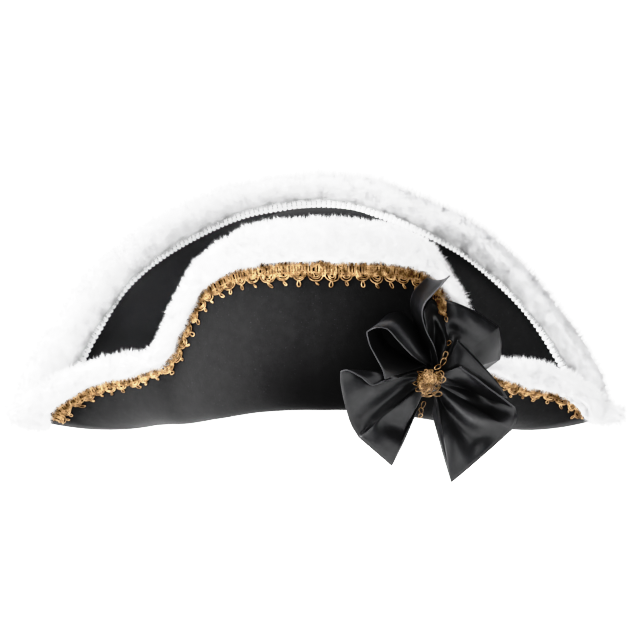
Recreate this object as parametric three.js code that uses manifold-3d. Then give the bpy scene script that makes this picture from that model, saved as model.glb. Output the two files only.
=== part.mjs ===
// A black felt bicorne, edged with white fur and gold braid, with a satin bow on the front flap.
// Millimetres. The origin is the middle of the head opening, +Z is up, the front faces -Y
// and the two points of the hat lie along X.

import * as THREE from 'three';
import { mergeVertices } from 'three/addons/utils/BufferGeometryUtils.js';
import Module from 'manifold-3d';

const wasm = await Module();
wasm.setup();

// Felt, and the gap kept between pieces that touch
const feltThickness = 2;
const seatGap = 0.3;

// Crown: an oval dome, longer front to back than it is wide, with full steep sides.
// Its seam rises at the front and back of the head and dips at the sides.
const crownHalfWidth = 88;
const crownHalfLength = 102.5;
const crownTop = 145;
const crownFullness = 2.7;
const seamRise = 7;
const seamGap = 0.9;
const crownTurns = 32;
const crownClimbs = 5;
const lastClimb = 0.97;
const climbCrowding = 1.3;

// Brim: a row for each direction around the head, from the middle of a flap (turn 0) to the point
// of the hat (turn 90). The edge is where the felt ends, the fold is what it turns up around.
const frontRows = [
  { turn: 0, edgeX: 0, edgeY: 112, edgeZ: 137, foldX: 0, foldY: 123, foldZ: -4 },
  { turn: 10, edgeX: 23, edgeY: 110, edgeZ: 136, foldX: 20, foldY: 121, foldZ: -4 },
  { turn: 20, edgeX: 46, edgeY: 103, edgeZ: 131.5, foldX: 41, foldY: 114, foldZ: -6 },
  { turn: 30, edgeX: 67, edgeY: 93, edgeZ: 121.5, foldX: 62, foldY: 102, foldZ: -10 },
  { turn: 38, edgeX: 83, edgeY: 84, edgeZ: 107, foldX: 78, foldY: 89, foldZ: -15 },
  { turn: 45, edgeX: 94, edgeY: 76, edgeZ: 89, foldX: 92, foldY: 76, foldZ: -19 },
  { turn: 52, edgeX: 102, edgeY: 69, edgeZ: 69, foldX: 104, foldY: 62, foldZ: -23 },
  { turn: 58, edgeX: 110, edgeY: 62, edgeZ: 50, foldX: 113, foldY: 50, foldZ: -26 },
  { turn: 63, edgeX: 121, edgeY: 54, edgeZ: 37, foldX: 121, foldY: 41, foldZ: -28 },
  { turn: 68, edgeX: 138, edgeY: 41, edgeZ: 32, foldX: 128, foldY: 33, foldZ: -30 },
  { turn: 74, edgeX: 159, edgeY: 27, edgeZ: 28, foldX: 136, foldY: 25, foldZ: -31 },
  { turn: 80, edgeX: 182, edgeY: 15, edgeZ: 18, foldX: 143, foldY: 17, foldZ: -32 },
  { turn: 86, edgeX: 207, edgeY: 6, edgeZ: 2, foldX: 149, foldY: 8, foldZ: -32 },
  { turn: 90, edgeX: 218, edgeY: 0, edgeZ: -13, foldX: 150, foldY: 0, foldZ: -32 }
];
const backRows = [
  { turn: 0, edgeX: 0, edgeY: 112, edgeZ: 158, foldX: 0, foldY: 123, foldZ: -4 },
  { turn: 12, edgeX: 29, edgeY: 109, edgeZ: 156, foldX: 25, foldY: 120, foldZ: -5 },
  { turn: 24, edgeX: 58, edgeY: 99, edgeZ: 149, foldX: 50, foldY: 110, foldZ: -8 },
  { turn: 36, edgeX: 90, edgeY: 81, edgeZ: 137, foldX: 75, foldY: 92, foldZ: -14 },
  { turn: 48, edgeX: 121, edgeY: 58, edgeZ: 121, foldX: 98, foldY: 68, foldZ: -21 },
  { turn: 58, edgeX: 147, edgeY: 38, edgeZ: 101.5, foldX: 115, foldY: 48, foldZ: -26 },
  { turn: 67, edgeX: 170, edgeY: 23, edgeZ: 77, foldX: 129, foldY: 32, foldZ: -30 },
  { turn: 75, edgeX: 190, edgeY: 12, edgeZ: 49, foldX: 138, foldY: 21, foldZ: -31 },
  { turn: 83, edgeX: 207, edgeY: 6, edgeZ: 20, foldX: 146, foldY: 11, foldZ: -32 },
  { turn: 90, edgeX: 218, edgeY: 0, edgeZ: -13, foldX: 150, foldY: 0, foldZ: -32 }
];
const pointShortening = 0.9;
const pointStart = 120;
const brimTurns = 56;
const brimReaches = 7;
const reachCrowding = 0.8;

// Fur trim: how far it stands past the felt edge, how far it reaches down the face that shows
// and down the other face, and how thick it is on each
const frontFur = [
  { turn: 0, past: 9, shown: 23, hidden: 17, thick: 12 },
  { turn: 30, past: 9, shown: 19, hidden: 15, thick: 12 },
  { turn: 50, past: 8, shown: 13, hidden: 12, thick: 11 },
  { turn: 65, past: 9, shown: 15, hidden: 12, thick: 11 },
  { turn: 80, past: 10, shown: 14, hidden: 10, thick: 10 },
  { turn: 90, past: 13, shown: 13, hidden: 8, thick: 8 }
];
const backFur = [
  { turn: 0, past: 10, shown: 14, hidden: 15, thick: 12 },
  { turn: 50, past: 10, shown: 13, hidden: 15, thick: 12 },
  { turn: 75, past: 11, shown: 13, hidden: 14, thick: 11 },
  { turn: 90, past: 12, shown: 8, hidden: 8, thick: 8 }
];
const furSpread = 9;
const furLip = { share: 0.5, height: 5 };
const furTurns = { frontFrom: -89, frontTo: 89, backFrom: 91, backTo: 269 };
const furSteps = 22;
const furTips = [{ beyond: 15, shrink: 0.5 }, { beyond: 9, shrink: 0.85 }];
const tipDroop = 0.3;
const lock = { length: 18, width: 8.5, lean: 2.2, sink: 4.6, bareSteps: 2 };

// Heading tape of the back fur, seen inside the rear flap: its lower edge from the middle outwards
const tapeWidth = 5.5;
const tapeThickness = 1;
const bandSteps = 44;
const tapeRows = [
  { x: 0, z: 141 },
  { x: 40, z: 136.5 },
  { x: 75, z: 126.5 },
  { x: 105, z: 111.5 },
  { x: 131, z: 91.5 },
  { x: 155, z: 64.5 },
  { x: 174, z: 36 },
  { x: 190, z: 14 },
  { x: 204, z: -4 }
];

// Gold braid: the upper edge of the band from the middle outwards, with the braid's whole width.
// The band takes a share of that width, and the rest is a row of picot loops with a hole each.
const braidRows = [
  { x: 0, z: 112, width: 17 },
  { x: 25, z: 112, width: 17 },
  { x: 50, z: 110.5, width: 16 },
  { x: 66, z: 105.5, width: 14.5 },
  { x: 80, z: 92, width: 13 },
  { x: 91, z: 70, width: 12.5 },
  { x: 98, z: 48, width: 12.5 },
  { x: 104, z: 35.5, width: 12 },
  { x: 118, z: 29, width: 11 },
  { x: 140, z: 22, width: 11 },
  { x: 164, z: 15.5, width: 10.5 },
  { x: 180, z: 7.5, width: 9 },
  { x: 190, z: -1.5, width: 7 },
  { x: 196, z: -9, width: 5 }
];
const braidMotifs = 50;
const braidBand = 0.62;
const picotShoulder = 0.06;
const picotHole = { drop: 0.12, s: 0.13, w: 0.08 };
const braidThickness = 1.4;
const braidUnderFur = 5;

// Satin ribbon: each lobe of the bow is a table of its folds. A fan spreads from the waist to a rim;
// a loop runs between a rear hem and a front hem. Lift is how far the middle stands forward.
const ribbonThickness = 1.2;
const ribbonStepsAcross = 3;
const waist = { x: 78, y: -97, z: 27, halfWidth: 9, halfDepth: 17, halfHeight: 9.5 };
const bowFans = {
  leftTail: {
    gather: [{ x: 74, y: -106, z: 36 }, { x: 74, y: -102, z: 21 }],
    rows: [
      { x: 45, y: -130, z: 30, lift: -6 },
      { x: 36, y: -134, z: 27, lift: 4 },
      { x: 28, y: -138, z: 33, lift: 0 },
      { x: 19, y: -140, z: 38, lift: -6 },
      { x: 14, y: -139, z: 37, lift: -4 },
      { x: 14, y: -136, z: 28, lift: 6 },
      { x: 17, y: -134, z: 13, lift: 9 },
      { x: 21, y: -130, z: -1, lift: -2 },
      { x: 27, y: -126, z: -10, lift: 5 },
      { x: 40, y: -126, z: -21, lift: 8 },
      { x: 50, y: -122, z: -31, lift: 3 },
      { x: 60, y: -115, z: -12, lift: 1 },
      { x: 70, y: -106, z: 9, lift: 0 }
    ]
  },
  innerFold: {
    gather: [{ x: 80, y: -100, z: 34 }, { x: 84, y: -98, z: 32 }],
    rows: [
      { x: 72, y: -118, z: 77, lift: 0 },
      { x: 79, y: -104, z: 84, lift: -3 },
      { x: 86, y: -97, z: 72, lift: 2 },
      { x: 90, y: -97, z: 58, lift: 5 },
      { x: 92, y: -98, z: 48, lift: 0 }
    ]
  },
  rightLoop: {
    gather: [{ x: 84, y: -98, z: 33 }, { x: 84, y: -97, z: 28 }],
    rows: [
      { x: 92, y: -94, z: 82, lift: 0 },
      { x: 100, y: -95, z: 80, lift: 6 },
      { x: 112, y: -89, z: 75, lift: 8 },
      { x: 127, y: -76, z: 63, lift: 7 },
      { x: 131, y: -72, z: 51, lift: 9 },
      { x: 129, y: -70, z: 40, lift: 4 },
      { x: 119, y: -76, z: 31, lift: 0 }
    ]
  },
  rightFold: {
    gather: [{ x: 84, y: -101, z: 31 }, { x: 84, y: -100, z: 26 }],
    rows: [
      { x: 97, y: -104, z: 56, lift: 4 },
      { x: 107, y: -102, z: 47, lift: 7 },
      { x: 118, y: -97, z: 34, lift: 6 },
      { x: 128, y: -90, z: 22, lift: 4 },
      { x: 134, y: -84, z: 12, lift: 0 }
    ]
  },
  rightTail: {
    gather: [{ x: 83, y: -107, z: 32 }, { x: 81, y: -104, z: 19 }],
    rows: [
      { x: 94, y: -108, z: 34, lift: -3 },
      { x: 99, y: -114, z: 38, lift: 1 },
      { x: 109, y: -114, z: 31, lift: 4 },
      { x: 121, y: -108, z: 21, lift: 7 },
      { x: 132, y: -98, z: 13, lift: 10 },
      { x: 139, y: -90, z: 6, lift: 12 },
      { x: 141, y: -88, z: -1, lift: 9 },
      { x: 137, y: -90, z: -9, lift: 2 },
      { x: 127, y: -96, z: -17, lift: -5 },
      { x: 116, y: -102, z: -26, lift: -4 },
      { x: 104, y: -107, z: -34, lift: 4 },
      { x: 93, y: -108, z: -43, lift: 5 },
      { x: 86, y: -106, z: -22, lift: 2 },
      { x: 79, y: -103, z: 3, lift: 0 }
    ]
  }
};
const bowLoops = {
  leftLoop: [
    { rearX: 80, rearY: -96, rearZ: 40, hemX: 75, hemY: -104, hemZ: 38, lift: 0 },
    { rearX: 74, rearY: -95, rearZ: 49, hemX: 65, hemY: -122, hemZ: 46, lift: 3 },
    { rearX: 66, rearY: -96, rearZ: 64, hemX: 54, hemY: -134, hemZ: 58, lift: 5 },
    { rearX: 58, rearY: -100, rearZ: 71, hemX: 46, hemY: -140, hemZ: 67, lift: 4 },
    { rearX: 49, rearY: -104, rearZ: 71, hemX: 38, hemY: -142, hemZ: 68, lift: 2 },
    { rearX: 42, rearY: -106, rearZ: 66, hemX: 32, hemY: -142, hemZ: 65, lift: 0 },
    { rearX: 43, rearY: -107, rearZ: 56, hemX: 34, hemY: -140, hemZ: 56, lift: 0 },
    { rearX: 47, rearY: -107, rearZ: 47, hemX: 38, hemY: -138, hemZ: 48, lift: 0 },
    { rearX: 52, rearY: -106, rearZ: 38, hemX: 43, hemY: -134, hemZ: 38, lift: 0 },
    { rearX: 54, rearY: -106, rearZ: 31, hemX: 45, hemY: -131, hemZ: 31, lift: 0 }
  ],
  uprightLoop: [
    { rearX: 79, rearY: -97, rearZ: 36, hemX: 84, hemY: -102, hemZ: 36, lift: 0 },
    { rearX: 72, rearY: -95, rearZ: 55, hemX: 80, hemY: -114, hemZ: 52, lift: 3 },
    { rearX: 67, rearY: -97, rearZ: 68, hemX: 74, hemY: -122, hemZ: 64, lift: 4 },
    { rearX: 64, rearY: -100, rearZ: 79, hemX: 71, hemY: -126, hemZ: 76, lift: 4 },
    { rearX: 65, rearY: -101, rearZ: 88, hemX: 73, hemY: -127, hemZ: 84, lift: 3 },
    { rearX: 70, rearY: -102, rearZ: 96, hemX: 78, hemY: -128, hemZ: 91, lift: 2 },
    { rearX: 78, rearY: -103, rearZ: 101, hemX: 89, hemY: -129, hemZ: 102, lift: 0 }
  ]
};

// Braid strap: from the front braid down over the waist of the bow, as its knot, and on to
// the fold of the brim
const strapThickness = 2;
const strapCrown = 1.3;
const strapSteps = 24;
const strapAcross = new THREE.Vector3(0.86, 0.5, 0);
const strapRows = [
  { x: 92, y: -83, z: 58, width: 7 },
  { x: 93, y: -90, z: 50, width: 7 },
  { x: 90, y: -101, z: 44, width: 8 },
  { x: 85, y: -112, z: 37.5, width: 13 },
  { x: 79, y: -116.5, z: 28, width: 17 },
  { x: 75, y: -113, z: 17, width: 13 },
  { x: 71, y: -100, z: 8, width: 8 },
  { x: 70, y: -86.5, z: 1, width: 8 }
];

const feltBlack = new THREE.MeshStandardMaterial({ color: 0x17171a, roughness: 0.95, metalness: 0 });
const furWhite = new THREE.MeshStandardMaterial({ color: 0xf4f4f4, roughness: 0.9, metalness: 0 });
const tapeWhite = new THREE.MeshStandardMaterial({ color: 0xe8e8e6, roughness: 0.85, metalness: 0 });
const braidGold = new THREE.MeshStandardMaterial({ color: 0xb98a45, roughness: 0.4, metalness: 0.7 });
const satinBlack = new THREE.MeshStandardMaterial({ color: 0x141416, roughness: 0.3, metalness: 0 });

// The smooth curve through one column of a table, taken at a value of its key column
function tableAt(rows, key, column, value) {
  const last = rows.length - 1;
  let i = 0;
  while (i < last - 1 && value > rows[i + 1][key]) {
    i += 1;
  }
  const slope = (j) => {
    const [a, b] = [Math.max(0, j - 1), Math.min(last, j + 1)];
    return (rows[b][column] - rows[a][column]) / (rows[b][key] - rows[a][key]);
  };
  const step = rows[i + 1][key] - rows[i][key];
  const t = (value - rows[i][key]) / step;
  const startWeight = 2 * t ** 3 - 3 * t ** 2 + 1;
  const startSlopeWeight = (t ** 3 - 2 * t ** 2 + t) * step;
  const endSlopeWeight = (t ** 3 - t ** 2) * step;
  return rows[i][column] * startWeight + slope(i) * startSlopeWeight
    + rows[i + 1][column] * (1 - startWeight) + slope(i + 1) * endSlopeWeight;
}

// Turns run round the head in degrees: 0 at the front, 90 at the right point, 180 at the back
function seamPoint(turn, away) {
  const angle = THREE.MathUtils.degToRad(turn);
  return new THREE.Vector3(
    (crownHalfWidth + away) * Math.sin(angle),
    -(crownHalfLength + away) * Math.cos(angle),
    seamRise * Math.cos(2 * angle)
  );
}

// How a turn reads in the tables of the two flaps
function flapTurn(turn) {
  const away = Math.abs(((turn + 180) % 360 + 360) % 360 - 180);
  const front = away <= 90;
  const side = Math.sin(THREE.MathUtils.degToRad(turn)) < 0 ? -1 : 1;
  return { front, side, rowTurn: front ? away : 180 - away };
}

function rowPoint(turn, name) {
  const { front, side, rowTurn } = flapTurn(turn);
  const at = (axis) => tableAt(front ? frontRows : backRows, 'turn', name + axis, rowTurn);
  let x = at('X');
  if (side > 0 && x > pointStart) {
    x = pointStart + (x - pointStart) * pointShortening;
  }
  return new THREE.Vector3(side * x, (front ? -1 : 1) * at('Y'), at('Z'));
}

// A line of the felt runs from the seam round its fold to its edge, as reach goes from 0 to 1
function brimPoint(turn, reach) {
  const p = seamPoint(turn, seamGap).multiplyScalar((1 - reach) ** 2);
  p.addScaledVector(rowPoint(turn, 'fold'), 2 * reach * (1 - reach));
  return p.addScaledVector(rowPoint(turn, 'edge'), reach ** 2);
}

// The way out of the face that shows from outside and below the hat
function brimNormal(turn, reach) {
  const d = 0.01;
  const along = brimPoint(turn + 50 * d, reach).sub(brimPoint(turn - 50 * d, reach));
  const out = brimPoint(turn, Math.min(1, reach + d)).sub(brimPoint(turn, Math.max(0, reach - d)));
  return along.cross(out).normalize();
}

function offFelt(turn, reach, height) {
  return brimPoint(turn, reach).addScaledVector(brimNormal(turn, reach), height);
}

// The place on a flap that lies at a given x and z, found from the nearest of a few samples
const feltSamples = [];
for (let turn = -180; turn < 180; turn += 6) {
  for (let reach = 0.2; Math.abs(turn) !== 90 && reach < 1.01; reach += 0.1) {
    feltSamples.push({ turn, reach, p: brimPoint(turn, reach), front: flapTurn(turn).front });
  }
}

function feltAt(x, z, front) {
  const distance = (s) => Math.hypot(s.p.x - x, s.p.z - z);
  const flap = feltSamples.filter((s) => s.front === front);
  let { turn, reach } = flap.reduce((a, b) => (distance(a) < distance(b) ? a : b));
  const newtonSteps = 6;
  for (let i = 0; i < newtonSteps; i += 1) {
    const p = brimPoint(turn, reach);
    const byTurn = brimPoint(turn + 0.1, reach).sub(p).multiplyScalar(10);
    const byReach = brimPoint(turn, reach + 0.001).sub(p).multiplyScalar(1000);
    const scale = byTurn.x * byReach.z - byReach.x * byTurn.z;
    const [dx, dz] = [x - p.x, z - p.z];
    turn += (dx * byReach.z - byReach.x * dz) / scale;
    reach += (byTurn.x * dz - dx * byTurn.z) / scale;
  }
  return { turn, reach };
}

// A closed body from rings of points. The first and last rings are joined or capped.
function bodyOfRings(rings, joined) {
  const positions = rings.flat().flatMap((p) => [p.x, p.y, p.z]);
  const size = rings[0].length;
  const index = [];
  const spans = joined ? rings.length : rings.length - 1;
  for (let i = 0; i < spans; i += 1) {
    const next = (i + 1) % rings.length;
    for (let j = 0; j < size; j += 1) {
      const k = (j + 1) % size;
      const [a, b, c, d] = [i * size + j, i * size + k, next * size + k, next * size + j];
      index.push(a, b, c, a, c, d);
    }
  }
  const cap = (ring, first, flip) => {
    const middle = new THREE.Vector3();
    ring.forEach((p) => middle.addScaledVector(p, 1 / size));
    const tip = positions.length / 3;
    positions.push(middle.x, middle.y, middle.z);
    for (let j = 0; j < size; j += 1) {
      const [a, b] = [first + j, first + (j + 1) % size];
      index.push(tip, flip ? b : a, flip ? a : b);
    }
  };
  if (!joined) {
    cap(rings[0], 0, true);
    cap(rings[rings.length - 1], (rings.length - 1) * size, false);
  }
  const geometry = new THREE.BufferGeometry();
  geometry.setAttribute('position', new THREE.Float32BufferAttribute(positions, 3));
  geometry.setIndex(index);
  return facingOut(geometry);
}

// Turns a closed body's faces outwards, where its volume comes out below nothing
function facingOut(geometry) {
  const { array } = geometry.attributes.position;
  const corner = (i) => new THREE.Vector3().fromArray(array, 3 * geometry.index.getX(i));
  let volume = 0;
  for (let i = 0; i < geometry.index.count; i += 3) {
    volume += corner(i).dot(corner(i + 1).cross(corner(i + 2)));
  }
  if (volume < 0) {
    geometry.index.array.reverse();
  }
  return geometry;
}

function toSolid(geometry) {
  const bare = geometry.clone();
  bare.deleteAttribute('normal');
  bare.deleteAttribute('uv');
  const merged = mergeVertices(bare, 1e-4);
  return new wasm.Manifold(new wasm.Mesh({
    numProp: 3,
    vertProperties: new Float32Array(merged.attributes.position.array),
    triVerts: new Uint32Array(merged.index.array)
  }));
}

function toGeometry(solid) {
  const mesh = solid.getMesh();
  const geometry = new THREE.BufferGeometry();
  geometry.setAttribute('position', new THREE.BufferAttribute(mesh.vertProperties, 3));
  geometry.setIndex(new THREE.BufferAttribute(mesh.triVerts, 1));
  return geometry;
}

// Cuts room for the neighbours of a piece and drops the crumbs that this leaves
function cutClear(solid, rooms) {
  const cut = rooms.reduce((left, room) => left.subtract(room), solid);
  return cut.decompose().reduce((a, b) => (a.volume() > b.volume() ? a : b));
}

// The brim: lines of felt around the head, as thick as asked and as far past its edge
function brimShell(half, past) {
  const rings = [];
  for (let i = 0; i < brimTurns; i += 1) {
    const turn = 360 * i / brimTurns;
    const overhang = past / (2 * rowPoint(turn, 'edge').distanceTo(rowPoint(turn, 'fold')));
    const faces = { shown: [], hidden: [] };
    for (let j = 0; j <= brimReaches; j += 1) {
      const reach = (j / brimReaches) ** reachCrowding + (j === brimReaches ? overhang : 0);
      faces.shown.push(offFelt(turn, reach, half));
      faces.hidden.unshift(offFelt(turn, reach, -half));
    }
    rings.push([...faces.shown, ...faces.hidden]);
  }
  return bodyOfRings(rings, true);
}

// The crown: a superellipse dome over the seam, as an outer face and an inner face
function crownPoint(turn, climb, inward) {
  const angle = climb * Math.PI / 2;
  const out = Math.cos(angle) ** (2 / crownFullness);
  const up = Math.sin(angle) ** (2 / crownFullness);
  const seam = seamPoint(turn, -inward);
  return new THREE.Vector3(
    seam.x * out,
    seam.y * out,
    seam.z * (1 - up) + (crownTop - inward) * up
  );
}

function crownGeometry() {
  const ringAt = (j, inward) => {
    const climb = lastClimb * (j / crownClimbs) ** climbCrowding;
    const ring = [];
    for (let i = 0; i < crownTurns; i += 1) {
      ring.push(crownPoint(360 * i / crownTurns, climb, inward));
    }
    return ring;
  };
  const rings = [];
  for (let j = crownClimbs; j >= 0; j -= 1) {
    rings.push(ringAt(j, feltThickness));
  }
  for (let j = 0; j <= crownClimbs; j += 1) {
    rings.push(ringAt(j, 0));
  }
  return bodyOfRings(rings, false);
}

// Fur: a backing folded over the felt edge, with rows of locks fused to it. The fur of one flap
// stands clear of the other's where the two come together at the points of the hat.
function edgeFrame(turn) {
  const away = brimNormal(turn, 1);
  const along = brimPoint(turn + 0.5, 1).sub(brimPoint(turn - 0.5, 1)).normalize();
  const past = away.clone().cross(along).normalize();
  const middle = brimPoint(turn, 1);
  middle.y = Math.sign(middle.y || away.y) * Math.hypot(middle.y, furSpread);
  return { middle, away, past, along };
}

function furSection(turn, trim, shrink) {
  const { rowTurn, front } = flapTurn(turn);
  const at = (column) => shrink * tableAt(trim, 'turn', column, rowTurn);
  const [past, shown, hidden, thick] = ['past', 'shown', 'hidden', 'thick'].map(at);
  const outline = [
    { side: 0.1, up: -shown * furLip.share },
    { side: furLip.height / thick, up: -shown },
    { side: 0.85, up: -shown * 0.9 },
    { side: 1, up: -shown * 0.4 },
    { side: 0.85, up: past * 0.5 },
    { side: 0, up: past },
    { side: -0.85, up: past * 0.4 },
    { side: -0.9, up: -hidden * 0.5 },
    { side: -0.6, up: -hidden },
    { side: -0.15, up: -hidden }
  ];
  const shownWay = front ? 1 : -1;
  return outline.map(({ side, up }) => ({ side: side * shownWay * thick, up }));
}

function furStations(trim, first, last) {
  const stations = [];
  const place = (turn, beyond, shrink) => {
    const frame = edgeFrame(turn);
    const tipWay = new THREE.Vector3(Math.sign(frame.middle.x), 0, -tipDroop).normalize();
    frame.middle.addScaledVector(tipWay, beyond);
    frame.ring = furSection(turn, trim, shrink).map(({ side, up }) => (
      frame.middle.clone().addScaledVector(frame.away, side).addScaledVector(frame.past, up)
    ));
    stations.push(frame);
  };
  furTips.forEach(({ beyond, shrink }) => place(first, beyond, shrink));
  for (let i = 0; i <= furSteps; i += 1) {
    place(first + (last - first) * i / furSteps, 0, 1);
  }
  [...furTips].reverse().forEach(({ beyond, shrink }) => place(last, beyond, shrink));
  return stations;
}

// A lock rises from the backing and leans along it
function lockSolid(root, out, along) {
  const way = out.clone().addScaledVector(along, lock.lean).normalize();
  const cone = new THREE.ConeGeometry(lock.width, lock.length, 4, 1);
  cone.translate(0, lock.length / 2, 0);
  cone.applyQuaternion(new THREE.Quaternion().setFromUnitVectors(new THREE.Vector3(0, 1, 0), way));
  const base = root.clone().addScaledVector(out, -lock.sink);
  cone.translate(base.x, base.y, base.z);
  return toSolid(cone);
}

function furSolid(trim, first, last, rooms) {
  const stations = furStations(trim, first, last);
  const backing = toSolid(bodyOfRings(stations.map((s) => s.ring), false));
  const lockCorners = [3, 5, 7];
  const bare = furTips.length + lock.bareSteps;
  const locks = [];
  stations.slice(bare, -bare).forEach(({ middle, along, ring }, i) => {
    lockCorners.forEach((corner, row) => {
      if ((i + row) % 2 === 0) {
        const out = ring[corner].clone().sub(middle).normalize();
        locks.push(lockSolid(ring[corner], out, row === 1 ? along : along.clone().negate()));
      }
    });
  });
  return cutClear(locks.reduce((solid, one) => solid.add(one), backing), rooms);
}

// A curve on a flap through a table's rows, mirrored, that gives the felt's turn and reach
// at a share of its length and a distance down from it
function feltCurve(rows, front) {
  const along = [...rows.slice(1).reverse().map((row) => ({ ...row, x: -row.x })), ...rows];
  const points = along.map(({ x, z }) => {
    const shorter = x > pointStart ? pointStart + (x - pointStart) * pointShortening : x;
    const { turn, reach } = feltAt(shorter, z, front);
    return brimPoint(turn, reach);
  });
  const curve = new THREE.CatmullRomCurve3(points, false, 'centripetal');
  return (share, down) => {
    const p = curve.getPointAt(share);
    const at = feltAt(p.x, p.z, front);
    const across = curve.getTangentAt(share).cross(brimNormal(at.turn, at.reach)).normalize();
    const target = p.addScaledVector(across, across.z > 0 ? -down : down);
    return feltAt(target.x, target.z, front);
  };
}

// A plain band along such a curve, between two distances down and two heights off the felt
function bandSolid(curveAt, downs, low, high) {
  const rings = [];
  for (let i = 0; i <= bandSteps; i += 1) {
    const [top, bottom] = downs.map((down) => curveAt(i / bandSteps, down));
    rings.push([
      offFelt(top.turn, top.reach, low),
      offFelt(bottom.turn, bottom.reach, low),
      offFelt(bottom.turn, bottom.reach, high),
      offFelt(top.turn, top.reach, high)
    ]);
  }
  return toSolid(bodyOfRings(rings, false));
}

const tapeLow = feltThickness / 2 + 2 * seatGap;
const tapeHigh = tapeLow + tapeThickness;

// One motif of the braid in the flat, one unit long and one unit wide: its outline, whose first
// points lie on the joins to its neighbours, and the hole of its picot
const motifOutline = [
  { s: 0, w: braidBand },
  { s: 0, w: 0 },
  { s: 1, w: 0 },
  { s: 1, w: braidBand },
  { s: 0.82, w: braidBand + picotShoulder },
  { s: 0.5, w: 1 },
  { s: 0.18, w: braidBand + picotShoulder }
];
const motifHole = [0, 1, 2, 3].map((i) => ({
  s: 0.5 + picotHole.s * Math.cos(i * Math.PI / 2),
  w: braidBand + picotHole.drop - picotHole.w * Math.sin(i * Math.PI / 2)
}));

const braidLow = feltThickness / 2 + 3 * seatGap;
const braidHigh = braidLow + braidThickness;

function braidGeometry(curveAt) {
  const flat = (loop) => loop.map(({ s, w }) => new THREE.Vector2(s, w));
  const faces = THREE.ShapeUtils.triangulateShape(flat(motifOutline), [flat(motifHole)]);
  const loops = [motifOutline, motifHole];
  const corners = loops.flat();
  const positions = [];
  const index = [];
  const halfRows = braidRows.map(({ width }, i) => ({ key: i / (braidRows.length - 1), width }));
  for (let i = 0; i < braidMotifs; i += 1) {
    const first = positions.length / 3;
    [braidHigh, braidLow].forEach((height) => {
      corners.forEach(({ s, w }) => {
        const share = (i + s) / braidMotifs;
        const width = tableAt(halfRows, 'key', 'width', Math.abs(2 * share - 1));
        const { turn, reach } = curveAt(share, w * width);
        const p = offFelt(turn, reach, height);
        positions.push(p.x, p.y, p.z);
      });
    });
    const under = first + corners.length;
    faces.forEach(([a, b, c]) => {
      index.push(first + a, first + b, first + c, under + a, under + c, under + b);
    });
    let start = 0;
    loops.forEach((loop) => {
      loop.forEach((corner, j) => {
        const k = (j + 1) % loop.length;
        const join = loop === motifOutline && corner.s === loop[k].s;
        const end = (i === 0 && corner.s === 0) || (i === braidMotifs - 1 && corner.s === 1);
        if (!join || end) {
          const [a, b] = [start + j, start + k];
          index.push(first + a, under + a, under + b, first + a, under + b, first + b);
        }
      });
      start += loop.length;
    });
  }
  const geometry = new THREE.BufferGeometry();
  geometry.setAttribute('position', new THREE.Float32BufferAttribute(positions, 3));
  geometry.setIndex(index);
  return facingOut(geometry);
}

// Ribbon: a line of points for each fold, from the rear hem to the front one, its middle lifted
function ribbonLine({ rearX, rearY, rearZ, hemX, hemY, hemZ, lift }) {
  const rear = new THREE.Vector3(rearX, rearY, rearZ);
  const hem = new THREE.Vector3(hemX, hemY, hemZ);
  const line = [];
  for (let j = 0; j <= ribbonStepsAcross; j += 1) {
    const t = j / ribbonStepsAcross;
    const p = rear.clone().lerp(hem, t);
    p.y -= 4 * t * (1 - t) * lift;
    line.push(p);
  }
  return line;
}

function fanRows({ gather, rows }) {
  const last = rows.length - 1;
  return rows.map(({ x, y, z, lift }, i) => {
    const share = i / last;
    const rear = (axis) => gather[0][axis] * (1 - share) + gather[1][axis] * share;
    return { rearX: rear('x'), rearY: rear('y'), rearZ: rear('z'), hemX: x, hemY: y, hemZ: z, lift };
  });
}

function ribbonSolid(rows) {
  const grid = rows.map(ribbonLine);
  const last = { i: grid.length - 1, j: grid[0].length - 1 };
  const half = ribbonThickness / 2;
  const rings = grid.map((line, i) => {
    const faces = { front: [], rear: [] };
    line.forEach((p, j) => {
      const along = grid[Math.min(last.i, i + 1)][j].clone().sub(grid[Math.max(0, i - 1)][j]);
      const across = line[Math.min(last.j, j + 1)].clone().sub(line[Math.max(0, j - 1)]);
      const way = across.cross(along).normalize();
      faces.front.push(p.clone().addScaledVector(way, half));
      faces.rear.unshift(p.clone().addScaledVector(way, -half));
    });
    return [...faces.front, ...faces.rear];
  });
  return toSolid(bodyOfRings(rings, false));
}

function waistSolid() {
  const bundle = new THREE.SphereGeometry(1, 12, 8);
  bundle.scale(waist.halfWidth, waist.halfDepth, waist.halfHeight);
  bundle.translate(waist.x, waist.y, waist.z);
  return toSolid(bundle);
}

function bowSolid(rooms) {
  const lobes = [...Object.values(bowFans).map(fanRows), ...Object.values(bowLoops)];
  const solid = lobes.reduce((joined, rows) => joined.add(ribbonSolid(rows)), waistSolid());
  return cutClear(solid, rooms);
}

// The strap: a flat braid along its own curve, its face turned to the front
function strapGeometry(grow) {
  const points = strapRows.map(({ x, y, z }) => new THREE.Vector3(x, y, z));
  const curve = new THREE.CatmullRomCurve3(points);
  const widths = strapRows.map(({ width }, key) => ({ key, width }));
  const rings = [];
  for (let i = 0; i <= strapSteps; i += 1) {
    const share = i / strapSteps;
    const middle = curve.getPoint(share);
    const along = curve.getTangent(share);
    const out = along.clone().cross(strapAcross).normalize();
    const across = out.clone().cross(along).normalize();
    const width = tableAt(widths, 'key', 'width', share * (strapRows.length - 1)) + 2 * grow;
    const thick = strapThickness / 2 + grow;
    const corner = (u, v) => (
      middle.clone().addScaledVector(across, u * width / 2).addScaledVector(out, v * thick)
    );
    rings.push([corner(-1, -1), corner(-1, 1), corner(0, strapCrown), corner(1, 1), corner(1, -1)]);
  }
  return bodyOfRings(rings, false);
}

const hat = new THREE.Group();

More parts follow.
